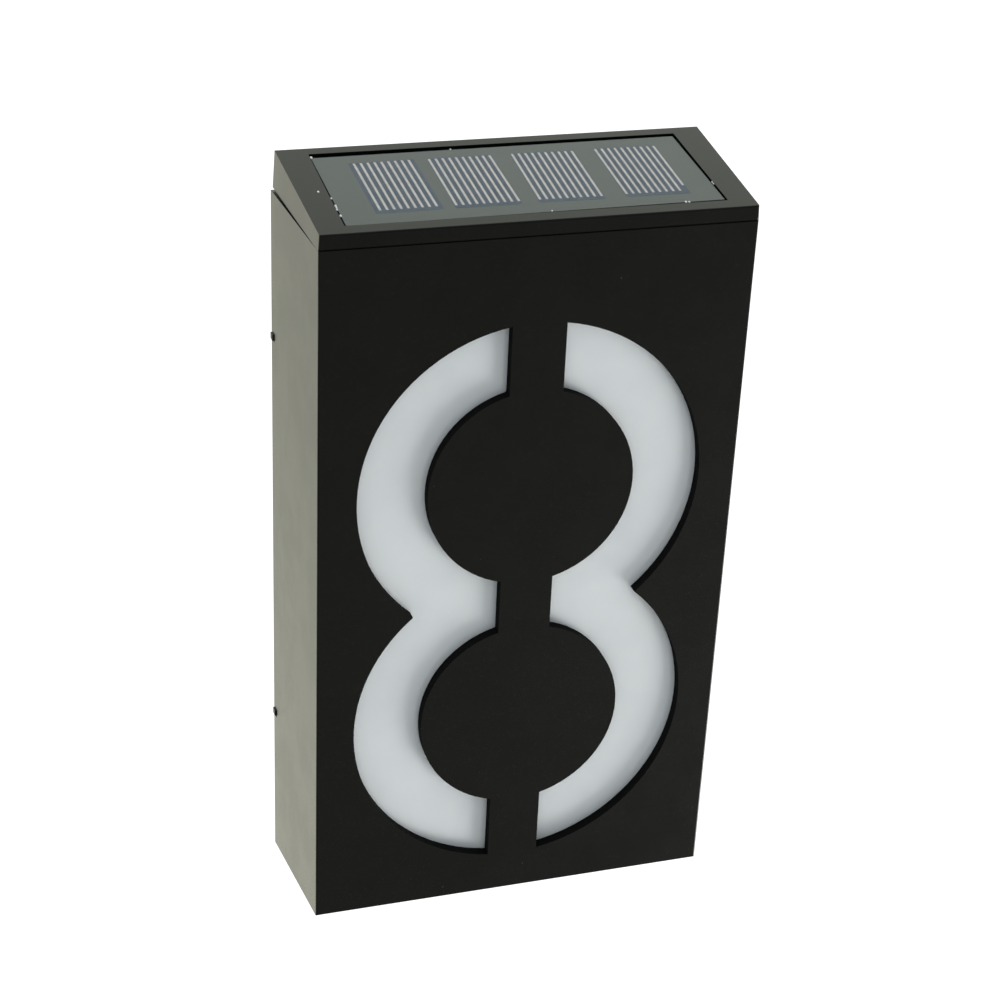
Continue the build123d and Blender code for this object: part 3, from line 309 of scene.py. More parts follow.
def black_plastic(name, rough, tint, skin_colours, grain_depth):
    """Moulded black plastic: a fine grain, faint clouds in its polish and a little dust."""
    material, finish = new_material(name)
    clouds = finish.spread(finish.noise(CLOUD_SIZE, 3.0, 0.6), *CLOUD_RANGE)
    dust = finish.spread(finish.noise(DUST_SIZE, 2.0), *DUST_RANGE)
    specks = finish.spread(finish.noise(SPECK_SIZE, 1.0), *SPECK_RANGE)
    grain = finish.noise(GRAIN_SIZE, 2.0, 0.6)
    skin = finish.blend(dust * DUST_TONE + clouds * CLOUD_TONE, *skin_colours)
    finish.surface({
        "Base Color": finish.blend(specks, skin, SPECK),
        "Roughness": finish.spread(clouds * 0.3 + grain * 0.7, 0.0, 1.0, *rough),
        "IOR": PLASTIC_IOR,
        "Specular Tint": tint,
        "Normal": finish.bump(grain, 0.5, grain_depth),
    })
    return material


def solid_copy(node):
    """A node's shape in a new mesh: its triangles are merged and its flat faces made whole."""
    shape = bmesh.new()
    shape.from_mesh(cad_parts[node].data)
    bmesh.ops.remove_doubles(shape, verts=shape.verts, dist=WELD)
    bmesh.ops.dissolve_limit(
        shape, angle_limit=FLAT, verts=shape.verts, edges=shape.edges, delimit={"NORMAL"},
    )
    return shape


def soften(shape, chosen, radius, segments=2):
    """Rounds the sharp edges that the test chooses by the place of their middle."""
    edges = []
    for edge in shape.edges:
        middle = (edge.verts[0].co + edge.verts[1].co) / 2
        if len(edge.link_faces) == 2 and edge.calc_face_angle() > SHARP and chosen(middle):
            edges.append(edge)
    bmesh.ops.bevel(
        shape, geom=edges, offset=radius * MM, offset_type="OFFSET", affect="EDGES",
        segments=segments, profile=0.5, material=-1, clamp_overlap=True,
    )


def finished(shape, name, material, nodes=(), body="light_box"):
    """Makes the mesh a piece that rides on a body and stands for some nodes."""
    piece = bpy.data.objects.new(name, bpy.data.meshes.new(name))
    shape.to_mesh(piece.data)
    shape.free()
    bpy.context.scene.collection.objects.link(piece)
    piece.data.shade_smooth()
    piece.data.set_sharp_from_angle(angle=SHARP)
    level_faces = piece.modifiers.new("level_faces", "WEIGHTED_NORMAL")
    level_faces.keep_sharp = True
    piece.data.materials.append(material)
    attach(piece, body)
    if nodes:
        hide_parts(*nodes)
    return piece


front_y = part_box("housing")[0].y
case_plastic = black_plastic(
    "case_plastic", PLASTIC_ROUGH, PLASTIC_TINT, (BLACK, BLACK_WORN), GRAIN_DEPTH,
)
shell = solid_copy("housing")
soften(shell, lambda p: p.y < front_y + FACE_REACH, FRONT_EDGE_R)
soften(shell, lambda p: p.y > -FACE_REACH, REAR_EDGE_R)
cut_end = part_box("diffuser")[0].y + CUT_PAST_DIFFUSER
for face in shell.faces:
    middle = face.calc_center_median()
    in_wall = front_y + CUT_START < middle.y < cut_end
    if in_wall and abs(middle.x) < CUT_REACH and abs(face.normal.y) < UPRIGHT:
        face.material_index = 1
cut_plastic, finish = new_material("dull_cut_edge")
marks = finish.noise(0.5, 2.0)
finish.surface({
    "Base Color": finish.blend(marks, CUT_BLACK, BLACK_WORN),
    "Roughness": finish.between(marks, 0.75, 0.9),
    "IOR": 1.12,
    "Normal": finish.bump(marks, 0.4, 0.02),
})
housing_shell = finished(shell, "housing_shell", case_plastic, ["housing"])
housing_shell.data.materials.append(cut_plastic)

# Diffuser: a sheet of opal acrylic behind the numeral, cool white and softly polished. The tray
# presses it against the inside of the front.
OPAL = (0.860, 0.884, 0.898, 1.0)
OPAL_DULL = (0.830, 0.858, 0.874, 1.0)


def dress(node, material):
    """Gives a node of the solid model its finish."""
    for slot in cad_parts[node].material_slots:
        slot.material = material


opal, finish = new_material("opal_acrylic")
clouds = finish.noise(14.0, 2.0)
finish.surface({
    "Base Color": finish.blend(finish.between(clouds, 0.0, 1.0), OPAL, OPAL_DULL),
    "Roughness": finish.between(clouds, 0.14, 0.20),
    "IOR": 1.45,
    "Subsurface Weight": 0.6,
    "Subsurface Radius": (1.0, 1.0, 1.1),
    "Subsurface Scale": 3.0 * MM,
})
dress("diffuser", opal)

# Reflector: a tray moulded in white styrene that clamps the diffuser and spreads the light. Its stakes
# hold the LED board, a white strip with copper tracks under the mask. Each LED on it has a yellow
# phosphor dish.
STYRENE = (0.80, 0.80, 0.78, 1.0)
STYRENE_SHADE = (0.74, 0.74, 0.71, 1.0)
MASK = (0.78, 0.78, 0.75, 1.0)
TRACK = (0.66, 0.66, 0.61, 1.0)
PAD_TIN = (0.62, 0.61, 0.58, 1.0)
LED_BODY = (0.78, 0.78, 0.74, 1.0)
PHOSPHOR = (0.72, 0.50, 0.07, 1.0)
LED_PITCH = 22.0
LED_HALF_SHARE = 0.625  # half an LED's height over its width
LED_DISH_R = 1.15
LED_DISH_EDGE = 0.2  # taken from the square of the radius
LED_TRACK_X = 4.2
LED_TRACK_EDGE = (0.55, 0.75)
LED_PAD_RISE = 2.4
LED_PAD_HALF = (1.3, 0.6)

styrene, finish = new_material("white_styrene")
swirl = finish.noise(22.0, 3.0, 0.6)
finish.surface({
    "Base Color": finish.blend(finish.patches(swirl), STYRENE, STYRENE_SHADE),
    "Roughness": finish.between(swirl, 0.22, 0.34),
    "IOR": 1.5,
    "Normal": finish.bump(finish.noise(1.5), 0.3, 0.01),
})
dress("reflector", styrene)

led_low, led_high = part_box("leds")
first_led = led_low.z / MM + (led_high.x - led_low.x) / MM * LED_HALF_SHARE


def from_led(z):
    """Height above or below the nearest LED, in millimetres."""
    return (z - first_led + LED_PITCH / 2) % LED_PITCH - LED_PITCH / 2


mask_white, finish = new_material("white_board")
x, y, z = finish.places()
rise = from_led(z)
tracks = finish.spread(abs(abs(x) - LED_TRACK_X), *LED_TRACK_EDGE, 1.0, 0.0)
pads = (abs(abs(rise) - LED_PAD_RISE) < LED_PAD_HALF[1]) * (abs(x) < LED_PAD_HALF[0])
finish.surface({
    "Base Color": finish.blend(pads, finish.blend(tracks, MASK, TRACK), PAD_TIN),
    "Metallic": pads,
    "Roughness": finish.between(finish.noise(4.0), 0.30, 0.42),
    "Normal": finish.bump(tracks + finish.noise(0.6) * 0.2, 0.6, 0.03),
})
dress("led_board", mask_white)

led_face, finish = new_material("led_phosphor")
x, y, z = finish.places()
rise = from_led(z)
rim = LED_DISH_R ** 2
dish = finish.spread(x * x + rise * rise, rim - LED_DISH_EDGE, rim, 1.0, 0.0)
finish.surface({
    "Base Color": finish.blend(dish, LED_BODY, PHOSPHOR),
    "Roughness": finish.spread(dish + finish.noise(0.3) * 0.2, 0.0, 1.0, 0.45, 0.2),
})
dress("leds", led_face)

# Screws: zinc-plated pan heads with a cross recess and a rolled thread that cuts its own way into the
# bosses. Four hold the tray, two the lid, two the control board and four the back plate.
HEAD_R = 2.6
HEAD_H = 1.7
HEAD_EDGE = 0.75
HEAD_ROUND = 0.15
DOME_STEPS = 4
SHANK_R = 1.25
CORE_R = 0.95
CROSS_ARM = 1.55
CROSS_HALF = 0.36
CROSS_DEPTH = 1.3
CROSS_TAPER = 0.40
THREAD_PITCH = 0.9
THREAD_START = 0.5
THREAD_HALF = 0.25
THREAD_ROOT = 0.05
THREAD_END = 0.8
THREAD_STEPS = 16
TIP = 1.2
SCREW_LENGTH = 8.0
BOARD_SCREW_LENGTH = 5.0
ZINC = (0.56, 0.56, 0.54, 1.0)
ZINC_DULL = (0.44, 0.44, 0.42, 1.0)

zinc, finish = new_material("zinc_plating")
stain = finish.noise(1.4, 3.0, 0.6)
finish.surface({
    "Base Color": finish.blend(finish.patches(stain), ZINC, ZINC_DULL),
    "Metallic": 1.0,
    "Roughness": finish.between(stain, 0.24, 0.42),
    "Normal": finish.bump(finish.noise(0.12), 0.3, 0.006),
})


def outline(shape, points):
    """A chain of edges through the points, which are in millimetres."""
    corners = [shape.verts.new(Vector(p) * MM) for p in points]
    return corners + [shape.edges.new(pair) for pair in zip(corners, corners[1:])]


def turned(points, axis, centre, steps=32):
    """A closed turned shape: the outline, which starts and ends on the axis, is spun round it."""
    shape = bmesh.new()
    line = outline(shape, points)
    bmesh.ops.spin(
        shape, geom=line, cent=Vector(centre) * MM, axis=axis, angle=math.tau,
        steps=steps, use_merge=True,
    )
    bmesh.ops.remove_doubles(shape, verts=shape.verts, dist=WELD)
    bmesh.ops.recalc_face_normals(shape, faces=shape.faces)
    return shape


def pan_screw(length):
    """One screw that points down from the origin, which is the middle of its head's top."""
    dome = [(0, 0, 0)]
    for i in range(1, DOME_STEPS + 1):
        angle = math.radians(90 / DOME_STEPS * i)
        dome.append((HEAD_R * math.sin(angle), 0, -HEAD_EDGE * (1 - math.cos(angle))))
    below = [
        (HEAD_R, 0, -HEAD_H + HEAD_ROUND), (HEAD_R - HEAD_ROUND, 0, -HEAD_H), (CORE_R, 0, -HEAD_H),
    ]
    end = [(CORE_R, 0, -HEAD_H - length + TIP), (0, 0, -HEAD_H - length)]
    shape = turned(dome + below + end, (0, 0, 1), (0, 0, 0))
    for normal in ((1, 0, 0), (0, 1, 0)):
        for reach in (-CROSS_ARM, -CROSS_HALF, CROSS_HALF, CROSS_ARM):
            top = [f for f in shape.faces if f.calc_center_median().z > -HEAD_EDGE * MM]
            edges = list({e for f in top for e in f.edges})
            verts = list({v for f in top for v in f.verts})
            bmesh.ops.bisect_plane(
                shape, geom=top + edges + verts, dist=WELD / 4,
                plane_co=Vector(normal) * reach * MM, plane_no=normal,
            )
    recess = []
    for face in shape.faces:
        middle = face.calc_center_median() / MM
        near, far = sorted((abs(middle.x), abs(middle.y)))
        if middle.z > -HEAD_EDGE and near < CROSS_HALF and far < CROSS_ARM:
            recess.append(face)
    sunk = bmesh.ops.extrude_face_region(shape, geom=recess)["geom"]
    bmesh.ops.delete(shape, geom=recess, context="FACES")
    for vert in [v for v in sunk if isinstance(v, bmesh.types.BMVert)]:
        vert.co = Vector((vert.co.x * CROSS_TAPER, vert.co.y * CROSS_TAPER, -CROSS_DEPTH * MM))
    root = CORE_R - THREAD_ROOT
    crest_z = -HEAD_H - THREAD_START - THREAD_HALF
    ridge = outline(shape, (
        (root, 0, crest_z + THREAD_HALF), (SHANK_R, 0, crest_z), (root, 0, crest_z - THREAD_HALF),
    ))
    thread = shape.faces.new([v for v in ridge if isinstance(v, bmesh.types.BMVert)])
    turns = int((length - TIP - THREAD_END) / THREAD_PITCH)
    bmesh.ops.spin(
        shape, geom=[thread, *thread.edges, *thread.verts], cent=(0, 0, 0), axis=(0, 0, 1),
        angle=math.tau * turns, steps=THREAD_STEPS * turns,
        dvec=(0, 0, -THREAD_PITCH * MM / THREAD_STEPS),
    )
    bmesh.ops.recalc_face_normals(shape, faces=shape.faces)
    return shape


def drive_screws(node, places, way, length=SCREW_LENGTH):
    """Screws in a row of places, all pointing one way, in place of a node's plain ones."""
    pattern = pan_screw(length)
    one = bpy.data.meshes.new("screw_pattern")
    pattern.to_mesh(one)
    pattern.free()
    turn = Vector((0, 0, -1)).rotation_difference(Vector(way)).to_matrix().to_4x4()
    row = bmesh.new()
    for place in places:
        copy = one.copy()
        copy.transform(Matrix.Translation(place) @ turn)
        row.from_mesh(copy)
        bpy.data.meshes.remove(copy)
    bpy.data.meshes.remove(one)
    finished(row, node + "_threaded", zinc, [node])


def drive_four(node):
    """Four screws that point to the front, whose heads fill the rear corners of the node's box."""
    low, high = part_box(node)
    inset = HEAD_R * MM
    columns = (low.x + inset, high.x - inset)
    rows = (low.z + inset, high.z - inset)
    drive_screws(node, [Vector((x, high.y, z)) for x in columns for z in rows], (0, -1, 0))


drive_four("reflector_screws")

# Lid: a sloping wedge of the same black plastic. Its skirt plugs into the top of the box, and two
# screws hold it from below, through the housing's shelves.
LID_EDGE_R = 0.22
LID_GROOVE = 0.1 * MM  # the edges nearer than this to the parting line stay sharp

parting_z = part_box("housing")[1].z
lid_shape = solid_copy("lid")
soften(lid_shape, lambda p: p.z > parting_z + LID_GROOVE, LID_EDGE_R)
finished(lid_shape, "lid_shell", case_plastic, ["lid"])
screws_low, screws_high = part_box("lid_screws")
screw_y = (screws_low.y + screws_high.y) / 2
drive_screws("lid_screws", [
    Vector((screws_low.x + HEAD_R * MM, screw_y, screws_low.z)),
    Vector((screws_high.x - HEAD_R * MM, screw_y, screws_low.z)),
], (0, 0, 1))

# Solar panel: a grey-green board on foam tape in the lid's recess, with four cells laid by hand, silver
# fingers printed on them, and clear resin poured over all. What lies under the resin has its gloss as
# a clear coat. A few beads of it were squeezed up at the rim, and one drop dried on the lid.
LID_TOP_FRONT = 36.5
LID_TOP_REAR = 41.7
LID_DEPTH = 43.2
PANEL_MIDDLE = -21.23
PANEL_SIZE = (90.7, 34.6)
PANEL_UP = -0.2  # along the slope, from the recess's middle
PANEL_LEAN = math.radians(0.42)
PANEL_TOP = 0.28  # below the lid's top
RESIN_T = 0.06
BOARD_T = 1.6
LAYER_STEP = 0.02
RESIN_EDGE_R = 0.04
CELL_SIZE = (15.9, 25.9)
CELL_UP = 0.1
CELLS = (  # middle, lean in degrees, number of fingers
    (-29.4, -0.9, 9), (-10.55, -0.1, 10), (9.76, 1.1, 10), (30.85, 0.65, 10),
)
FINGER_PITCH = 1.66
FINGER_W = 0.61
FINGER_RUN = (-11.4, 12.75)
FINGER_STUB = 2.7  # what the last cell's last finger lacks at its front end
BEADS = (  # place across, place along the slope, radius
    (-45.5, -4.3, 0.30), (-45.4, -8.1, 0.38), (-45.4, -8.9, 0.30), (-45.5, -9.9, 0.36),
    (-45.4, -13.0, 0.40), (-45.4, 16.9, 0.42), (45.9, -8.2, 0.34), (45.8, -9.1, 0.26),
    (35.7, -17.3, 0.34), (36.5, -17.4, 0.30), (3.0, -17.3, 0.24), (-11.5, 17.1, 0.26),
)
LID_DROP = (-47.8, -1.1, 0.34)
BEAD_SHAPE = (0.8, 1.3, 0.7)
LID_DROP_SHAPE = (0.8, 1.3, 0.4)
BOARD = (0.054, 0.069, 0.067, 1.0)
BOARD_DUSTY = (0.064, 0.077, 0.075, 1.0)
SILICON = (0.012, 0.041, 0.086, 1.0)
SILICON_DARK = (0.007, 0.029, 0.069, 1.0)
SILVER = (0.61, 0.575, 0.55, 1.0)
SILVER_DULL = (0.47, 0.445, 0.43, 1.0)
RESIN = (0.30, 0.34, 0.32, 1.0)
# near white: a painted glint, standing in for the lamps' highlights on the set resin
BEAD_GLINT_WHITE = (0.80, 0.81, 0.79, 1.0)
RESIN_GLOSS = 0.22
FOAM = (0.012, 0.012, 0.013, 1.0)
FOAM_LIGHT = (0.022, 0.022, 0.022, 1.0)

slope = math.atan((LID_TOP_REAR - LID_TOP_FRONT) / LID_DEPTH)
panel_top = LID_TOP_REAR + PANEL_MIDDLE * math.tan(slope)
panel_centre = Vector((0, PANEL_MIDDLE, panel_top)) * MM
panel_frame = Matrix.Translation(panel_centre) @ Matrix.Rotation(slope, 4, "X")


def under_resin(name, colour, other, lump):
    """A matt ground with the resin's clear coat on it."""
    material, finish = new_material(name)
    clouds = finish.between(finish.noise(lump, 3.0), 0.0, 1.0)
    finish.surface({
        "Base Color": finish.blend(clouds, colour, other),
        "Roughness": finish.spread(clouds, 0.0, 1.0, 0.5, 0.6),
        "IOR": 1.1,
        "Coat Weight": 1.0,
        "Coat IOR": 1.4,
        "Coat Roughness": RESIN_GLOSS,
    })
    return material


def slab(shape, centre, size):
    """Adds a block to the mesh, centred at a point; both are in millimetres."""
    made = bmesh.ops.create_cube(shape, size=MM)["verts"]
    bmesh.ops.scale(shape, verts=made, vec=size)
    bmesh.ops.translate(shape, verts=made, vec=Vector(centre) * MM)
    return made


def on_panel(shape, name, material, nodes=()):
    """Lays a mesh made flat, with the lid's top at height 0, on the slope and makes it a piece."""
    bmesh.ops.transform(shape, matrix=panel_frame, verts=shape.verts)
    finished(shape, name, material, nodes)


board = bmesh.new()
board_z = -PANEL_TOP - RESIN_T
lean_a_little = Matrix.Rotation(PANEL_LEAN, 3, "Z")
slab(board, (0, PANEL_UP, board_z - BOARD_T / 2), (*PANEL_SIZE, BOARD_T))
bmesh.ops.rotate(board, verts=board.verts, cent=(0, 0, 0), matrix=lean_a_little)
board_paint = under_resin("panel_board", BOARD, BOARD_DUSTY, 6.0)
on_panel(board, "panel_board", board_paint, ["solar_board"])

cells = bmesh.new()
fingers = bmesh.new()
for middle, lean, count in CELLS:
    turn = Matrix.Rotation(math.radians(-lean), 3, "Z")
    centre = Vector((middle, CELL_UP, 0)) * MM
    wafer = slab(cells, (middle, CELL_UP, board_z), (*CELL_SIZE, 2 * LAYER_STEP))
    bmesh.ops.rotate(cells, verts=wafer, cent=centre, matrix=turn)
    for i in range(count):
        low, high = FINGER_RUN
        if middle == CELLS[-1][0] and i == count - 1:
            low += FINGER_STUB
        across = middle + (i - (count - 1) / 2) * FINGER_PITCH
        size = (FINGER_W, high - low, 2 * LAYER_STEP)
        strip = slab(fingers, (across, (low + high) / 2, board_z + LAYER_STEP), size)
        bmesh.ops.rotate(fingers, verts=strip, cent=centre, matrix=turn)
silicon = under_resin("silicon", SILICON, SILICON_DARK, 3.0)
printed_silver = under_resin("printed_silver", SILVER, SILVER_DULL, 1.2)
on_panel(cells, "silicon_cells", silicon, ["solar_cells"])
on_panel(fingers, "cell_fingers", printed_silver)

resin_sheet = bmesh.new()
sheet_middle = -PANEL_TOP - RESIN_T / 2
slab(resin_sheet, (0, PANEL_UP, sheet_middle), (*PANEL_SIZE, RESIN_T + LAYER_STEP))
bmesh.ops.rotate(resin_sheet, verts=resin_sheet.verts, cent=(0, 0, 0), matrix=lean_a_little)
soften(resin_sheet, lambda p: p.z > sheet_middle * MM, RESIN_EDGE_R)
resin, finish = new_material("clear_resin")
waves = finish.noise(7.0, 2.0)
finish.surface({
    "Base Color": RESIN,
    "Alpha": finish.between(waves, 0.03, 0.06),
    "Roughness": finish.between(waves, 0.12, 0.22),
    "IOR": 1.45,
    "Normal": finish.bump(waves, 0.3, 0.02),
})
on_panel(resin_sheet, "resin_sheet", resin, ["panel_cover"])

beads = bmesh.new()


def drip(across, up, radius, height, proportions):
    """Adds one drop of resin that has set."""
    ball = bmesh.ops.create_icosphere(beads, subdivisions=2, radius=radius * MM)["verts"]
    bmesh.ops.scale(beads, verts=ball, vec=proportions)
    bmesh.ops.translate(beads, verts=ball, vec=Vector((across, up, height)) * MM)


for bead in BEADS:
    drip(*bead, -PANEL_TOP, BEAD_SHAPE)
drip(*LID_DROP, 0.0, LID_DROP_SHAPE)
# The set resin of the beads and the drop is painted near white: a painted glint in place of the lamps'
# highlights on the clear resin.
bead_glint_finish, finish = new_material("set_resin_painted_glint")
cloudy = finish.noise(0.4, 2.0)
finish.surface({
    "Base Color": finish.blend(cloudy, BEAD_GLINT_WHITE, WHITE),
    "Roughness": finish.between(cloudy, 0.06, 0.2),
    "IOR": 1.5,
})
on_panel(beads, "resin_beads", bead_glint_finish)

foam, finish = new_material("closed_cell_foam")
pores = finish.pores(0.35)
finish.surface({
    "Base Color": finish.blend(finish.spread(pores, 0.1, 0.6), FOAM_LIGHT, FOAM),
    "Roughness": 0.9,
    "IOR": 1.3,
    "Normal": finish.bump(pores, 0.8, 0.08),
})
dress("panel_tape", foam)

# Control board: green with copper tracks under its mask, held by two screws in bosses of the back
# plate. It carries a chip, a small coil wound with enamelled wire and the slide switch.
BOARD_GREEN = (0.018, 0.120, 0.045, 1.0)
COPPER_UNDER_MASK = (0.045, 0.210, 0.070, 1.0)
EPOXY = (0.012, 0.012, 0.013, 1.0)
EPOXY_MARK = (0.075, 0.075, 0.075, 1.0)
FERRITE = (0.032, 0.030, 0.029, 1.0)
COPPER = (0.62, 0.24, 0.09, 1.0)
# the copper in painted shade, in the creases between the coil's turns
COPPER_IN_SHADE = (0.34, 0.11, 0.04, 1.0)
TIN = (0.60, 0.59, 0.56, 1.0)
TIN_DULL = (0.46, 0.45, 0.43, 1.0)
TRACK_HALF = 0.3
LEVEL_PITCH = 4.0
LEVEL_TOP = 11.0  # of the level tracks, above the board's lower edge
UPRIGHT_PITCH = 3.2
UPRIGHT_BASE = 13.0
DOT_INSET = 0.9
DOT_EDGE = (0.07, 0.10)  # squares of the radius where the dot's edge starts and ends
WOUND_WIRE = 0.3
FLANGE_T = 1.02

green_mask, finish = new_material("green_board")
x, y, z = finish.places()
board_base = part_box("control_board")[0].z / MM
in_column = abs(x % UPRIGHT_PITCH - UPRIGHT_PITCH / 2) < TRACK_HALF
in_row = abs(z % LEVEL_PITCH - LEVEL_PITCH / 2) < TRACK_HALF
upright_tracks = in_column * (z > board_base + UPRIGHT_BASE)
level_tracks = in_row * (z < board_base + LEVEL_TOP)
tracks = upright_tracks.or_more(level_tracks)
finish.surface({
    "Base Color": finish.blend(tracks, BOARD_GREEN, COPPER_UNDER_MASK),
    "Roughness": finish.between(finish.noise(3.0), 0.25, 0.4),
    "Normal": finish.bump(tracks + finish.noise(0.5) * 0.15, 0.6, 0.03),
})
dress("control_board", green_mask)

epoxy, finish = new_material("chip_epoxy")
chip_low, chip_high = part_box("driver_chip")
x, y, z = finish.places()
across = x - (chip_low.x / MM + DOT_INSET)
along = z - (chip_high.z / MM - DOT_INSET)
dot = finish.spread(across * across + along * along, *DOT_EDGE, 1.0, 0.0)
finish.surface({
    "Base Color": finish.blend(dot, EPOXY, EPOXY_MARK),
    "Roughness": 0.55,
    "Normal": finish.bump(finish.noise(0.08, 2.0, 0.7) - dot, 0.5, 0.01),
})
dress("driver_chip", epoxy)

coil, finish = new_material("coil")
coil_low, coil_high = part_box("inductor")
x, y, z = finish.places()
wound = (y > coil_low.y / MM + FLANGE_T) * (y < coil_high.y / MM - FLANGE_T)
# The copper is painted darker towards the edges of each turn of wire: painted shade in the creases
# between the turns, where the bump sinks too.
strands = abs(y % WOUND_WIRE - WOUND_WIRE / 2) * (2 / WOUND_WIRE)
finish.surface({
    "Base Color": finish.blend(wound, FERRITE, finish.blend(strands, COPPER, COPPER_IN_SHADE)),
    "Metallic": wound * 0.8,
    "Roughness": finish.spread(wound, 0.0, 1.0, 0.65, 0.28),
    "Normal": finish.bump(wound * (1 - strands) + finish.noise(0.4) * 0.2, 0.7, 0.05),
})
dress("inductor", coil)


def plated(name, colour, dull, rough, lump):
    """Plated sheet metal with faint stains and rolling marks."""
    material, finish = new_material(name)
    stain = finish.noise(lump, 3.0, 0.6)
    finish.surface({
        "Base Color": finish.blend(finish.patches(stain), colour, dull),
        "Metallic": 1.0,
        "Roughness": finish.between(stain, *rough),
        "Normal": finish.bump(finish.noise(0.15), 0.25, 0.006),
    })
    return material


dress("slide_switch", plated("tinned_can", TIN, TIN_DULL, (0.26, 0.40), 2.0))
screws_low, screws_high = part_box("control_board_screws")
inset = HEAD_R * MM
drive_screws("control_board_screws", [
    Vector((screws_low.x + inset, screws_low.y, screws_low.z + inset)),
    Vector((screws_high.x - inset, screws_low.y, screws_high.z - inset)),
], (0, 1, 0), BOARD_SCREW_LENGTH)

# Leads: stranded wire in soft PVC, in pairs of red and black. They are soldered at both ends and join
# the panel, the cell's contacts and the LED board to the control board, wholly inside the box.
RED = (0.42, 0.018, 0.012, 1.0)
RED_SCUFFED = (0.50, 0.045, 0.035, 1.0)
JACKET_BLACK = (0.010, 0.010, 0.011, 1.0)
JACKET_SCUFFED = (0.030, 0.030, 0.030, 1.0)
for colour, fresh, scuffed in (("red", RED, RED_SCUFFED), ("black", JACKET_BLACK, JACKET_SCUFFED)):
    jacket, finish = new_material(colour + "_pvc")
    scuffs = finish.spread(finish.noise(1.6, 3.0, 0.65), 0.5, 0.75)
    finish.surface({
        "Base Color": finish.blend(scuffs, fresh, scuffed),
        "Roughness": finish.spread(scuffs, 0.0, 1.0, 0.30, 0.48),
        "IOR": 1.5,
        "Normal": finish.bump(finish.noise(0.5), 0.4, 0.02),
    })
    for pair in ("panel", "battery", "light"):
        dress(f"{pair}_lead_{colour}", jacket)

# Back plate: a flat black moulding that closes the wall side, held by four screws. It carries the
# keyholes, the battery bay and the switch window, whose raised words are inked pale. Its edge sits on
# a foam seal in the housing's rebate.
PLATE_BLACK = (0.010, 0.010, 0.0105, 1.0)
PLATE_WORN = (0.018, 0.018, 0.018, 1.0)
PLATE_TINT = (0.55, 0.55, 0.55, 1.0)
PLATE_ROUGH = (0.38, 0.50)
PLATE_GRAIN_DEPTH = 0.03
WINDOW_X = -9.0
WINDOW_SINK = 1.0
WORD_HEIGHT = 1.35
CAPITAL_SHARE = 0.7  # a capital's height over the font's size
WORD_RISE = 0.25
WORD_UP = 2.75
WORDS = (("ON", WINDOW_X + 2.7), ("OFF", WINDOW_X - 2.3))
TO_WALL_SIDE = Matrix(((-1, 0, 0, 0), (0, 0, 1, 0), (0, 1, 0, 0), (0, 0, 0, 1)))
WALL_REACH = 0.02 * MM
PLATE_EDGE_R = 0.2
INK = (0.40, 0.40, 0.39, 1.0)
INK_WORN = (0.24, 0.24, 0.235, 1.0)

plate_plastic = black_plastic(
    "plate_plastic", PLATE_ROUGH, PLATE_TINT, (PLATE_BLACK, PLATE_WORN), PLATE_GRAIN_DEPTH,
)
plate = solid_copy("back_plate")
soften(plate, lambda p: p.y > -WALL_REACH, PLATE_EDGE_R)
finished(plate, "back_plate_moulding", plate_plastic, ["back_plate"])
dress("back_seal", foam)
drive_four("back_plate_screws")

letters = bmesh.new()
window_z = (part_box("switch_knob")[0].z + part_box("switch_knob")[1].z) / 2
for word, across in WORDS:
    text = bpy.data.curves.new("lettering", "FONT")
    text.body = word
    text.size = WORD_HEIGHT * MM / CAPITAL_SHARE
    text.extrude = WORD_RISE * MM / 2
    text.align_x = "CENTER"
    text.align_y = "CENTER"
    holder = bpy.data.objects.new("lettering", text)
    bpy.context.scene.collection.objects.link(holder)
    raised = bpy.data.meshes.new_from_object(holder)
    place = Vector((across * MM, (-WINDOW_SINK + WORD_RISE / 2) * MM, window_z + WORD_UP * MM))
    raised.transform(Matrix.Translation(place) @ TO_WALL_SIDE)
    letters.from_mesh(raised)
    bpy.data.meshes.remove(raised)
    bpy.data.objects.remove(holder)
    bpy.data.curves.remove(text)
bmesh.ops.remove_doubles(letters, verts=letters.verts, dist=WELD)
ink, finish = new_material("pale_ink")
wear = finish.noise(0.4, 3.0, 0.6)
finish.surface({
    "Base Color": finish.blend(finish.spread(wear, 0.4, 0.7), INK, INK_WORN),
    "Roughness": finish.between(wear, 0.5, 0.65),
    "Normal": finish.bump(wear, 0.3, 0.01),
})
finished(letters, "switch_lettering", ink)

# Battery bay: nickel-plated contacts, a cone-shaped coil spring at the minus end and one rechargeable
# cell in a plain shrink sleeve. A plus and a minus are raised and inked at the cell's ends.
NICKEL = (0.64, 0.61, 0.56, 1.0)
NICKEL_DULL = (0.52, 0.49, 0.44, 1.0)
LEAF_INSET = 4.8  # from the end of the minus contact's tail to its leaf
WIRE_R = 0.35
WIRE_SIDES = 12
WIRE_GAP = 0.02
SPRING_R = 4.0
SPRING_TIP_R = 2.8
SPRING_TURNS = 3.25
SPRING_STEPS = 40  # in each turn
SLEEVE = (0.020, 0.150, 0.060, 1.0)
SLEEVE_PALE = (0.42, 0.44, 0.43, 1.0)
SLEEVE_BAND = 7.0
SLEEVE_T = 0.1
SLEEVE_STEPS = 64
CELL_R = 7.15
CELL_NUB = 1.0
MARK_X = 29.7
MARK_Y = -2.2
MARK_RISE = 0.12
MARK_LENGTH = 2.4
MARK_WIDTH = 0.55
MARK_STEP = 0.02  # by which the plus's second bar is thinner than its first

nickel = plated("nickel_plating", NICKEL, NICKEL_DULL, (0.20, 0.34), 2.5)
dress("battery_plus_contact", nickel)
cell_low, cell_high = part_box("battery")
cell_y = (cell_low.y + cell_high.y) / 2 / MM
cell_z = (cell_low.z + cell_high.z) / 2 / MM
nub_x = cell_low.x / MM
foot_x = cell_high.x / MM
leaf_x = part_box("battery_minus_contact")[1].x / MM - LEAF_INSET

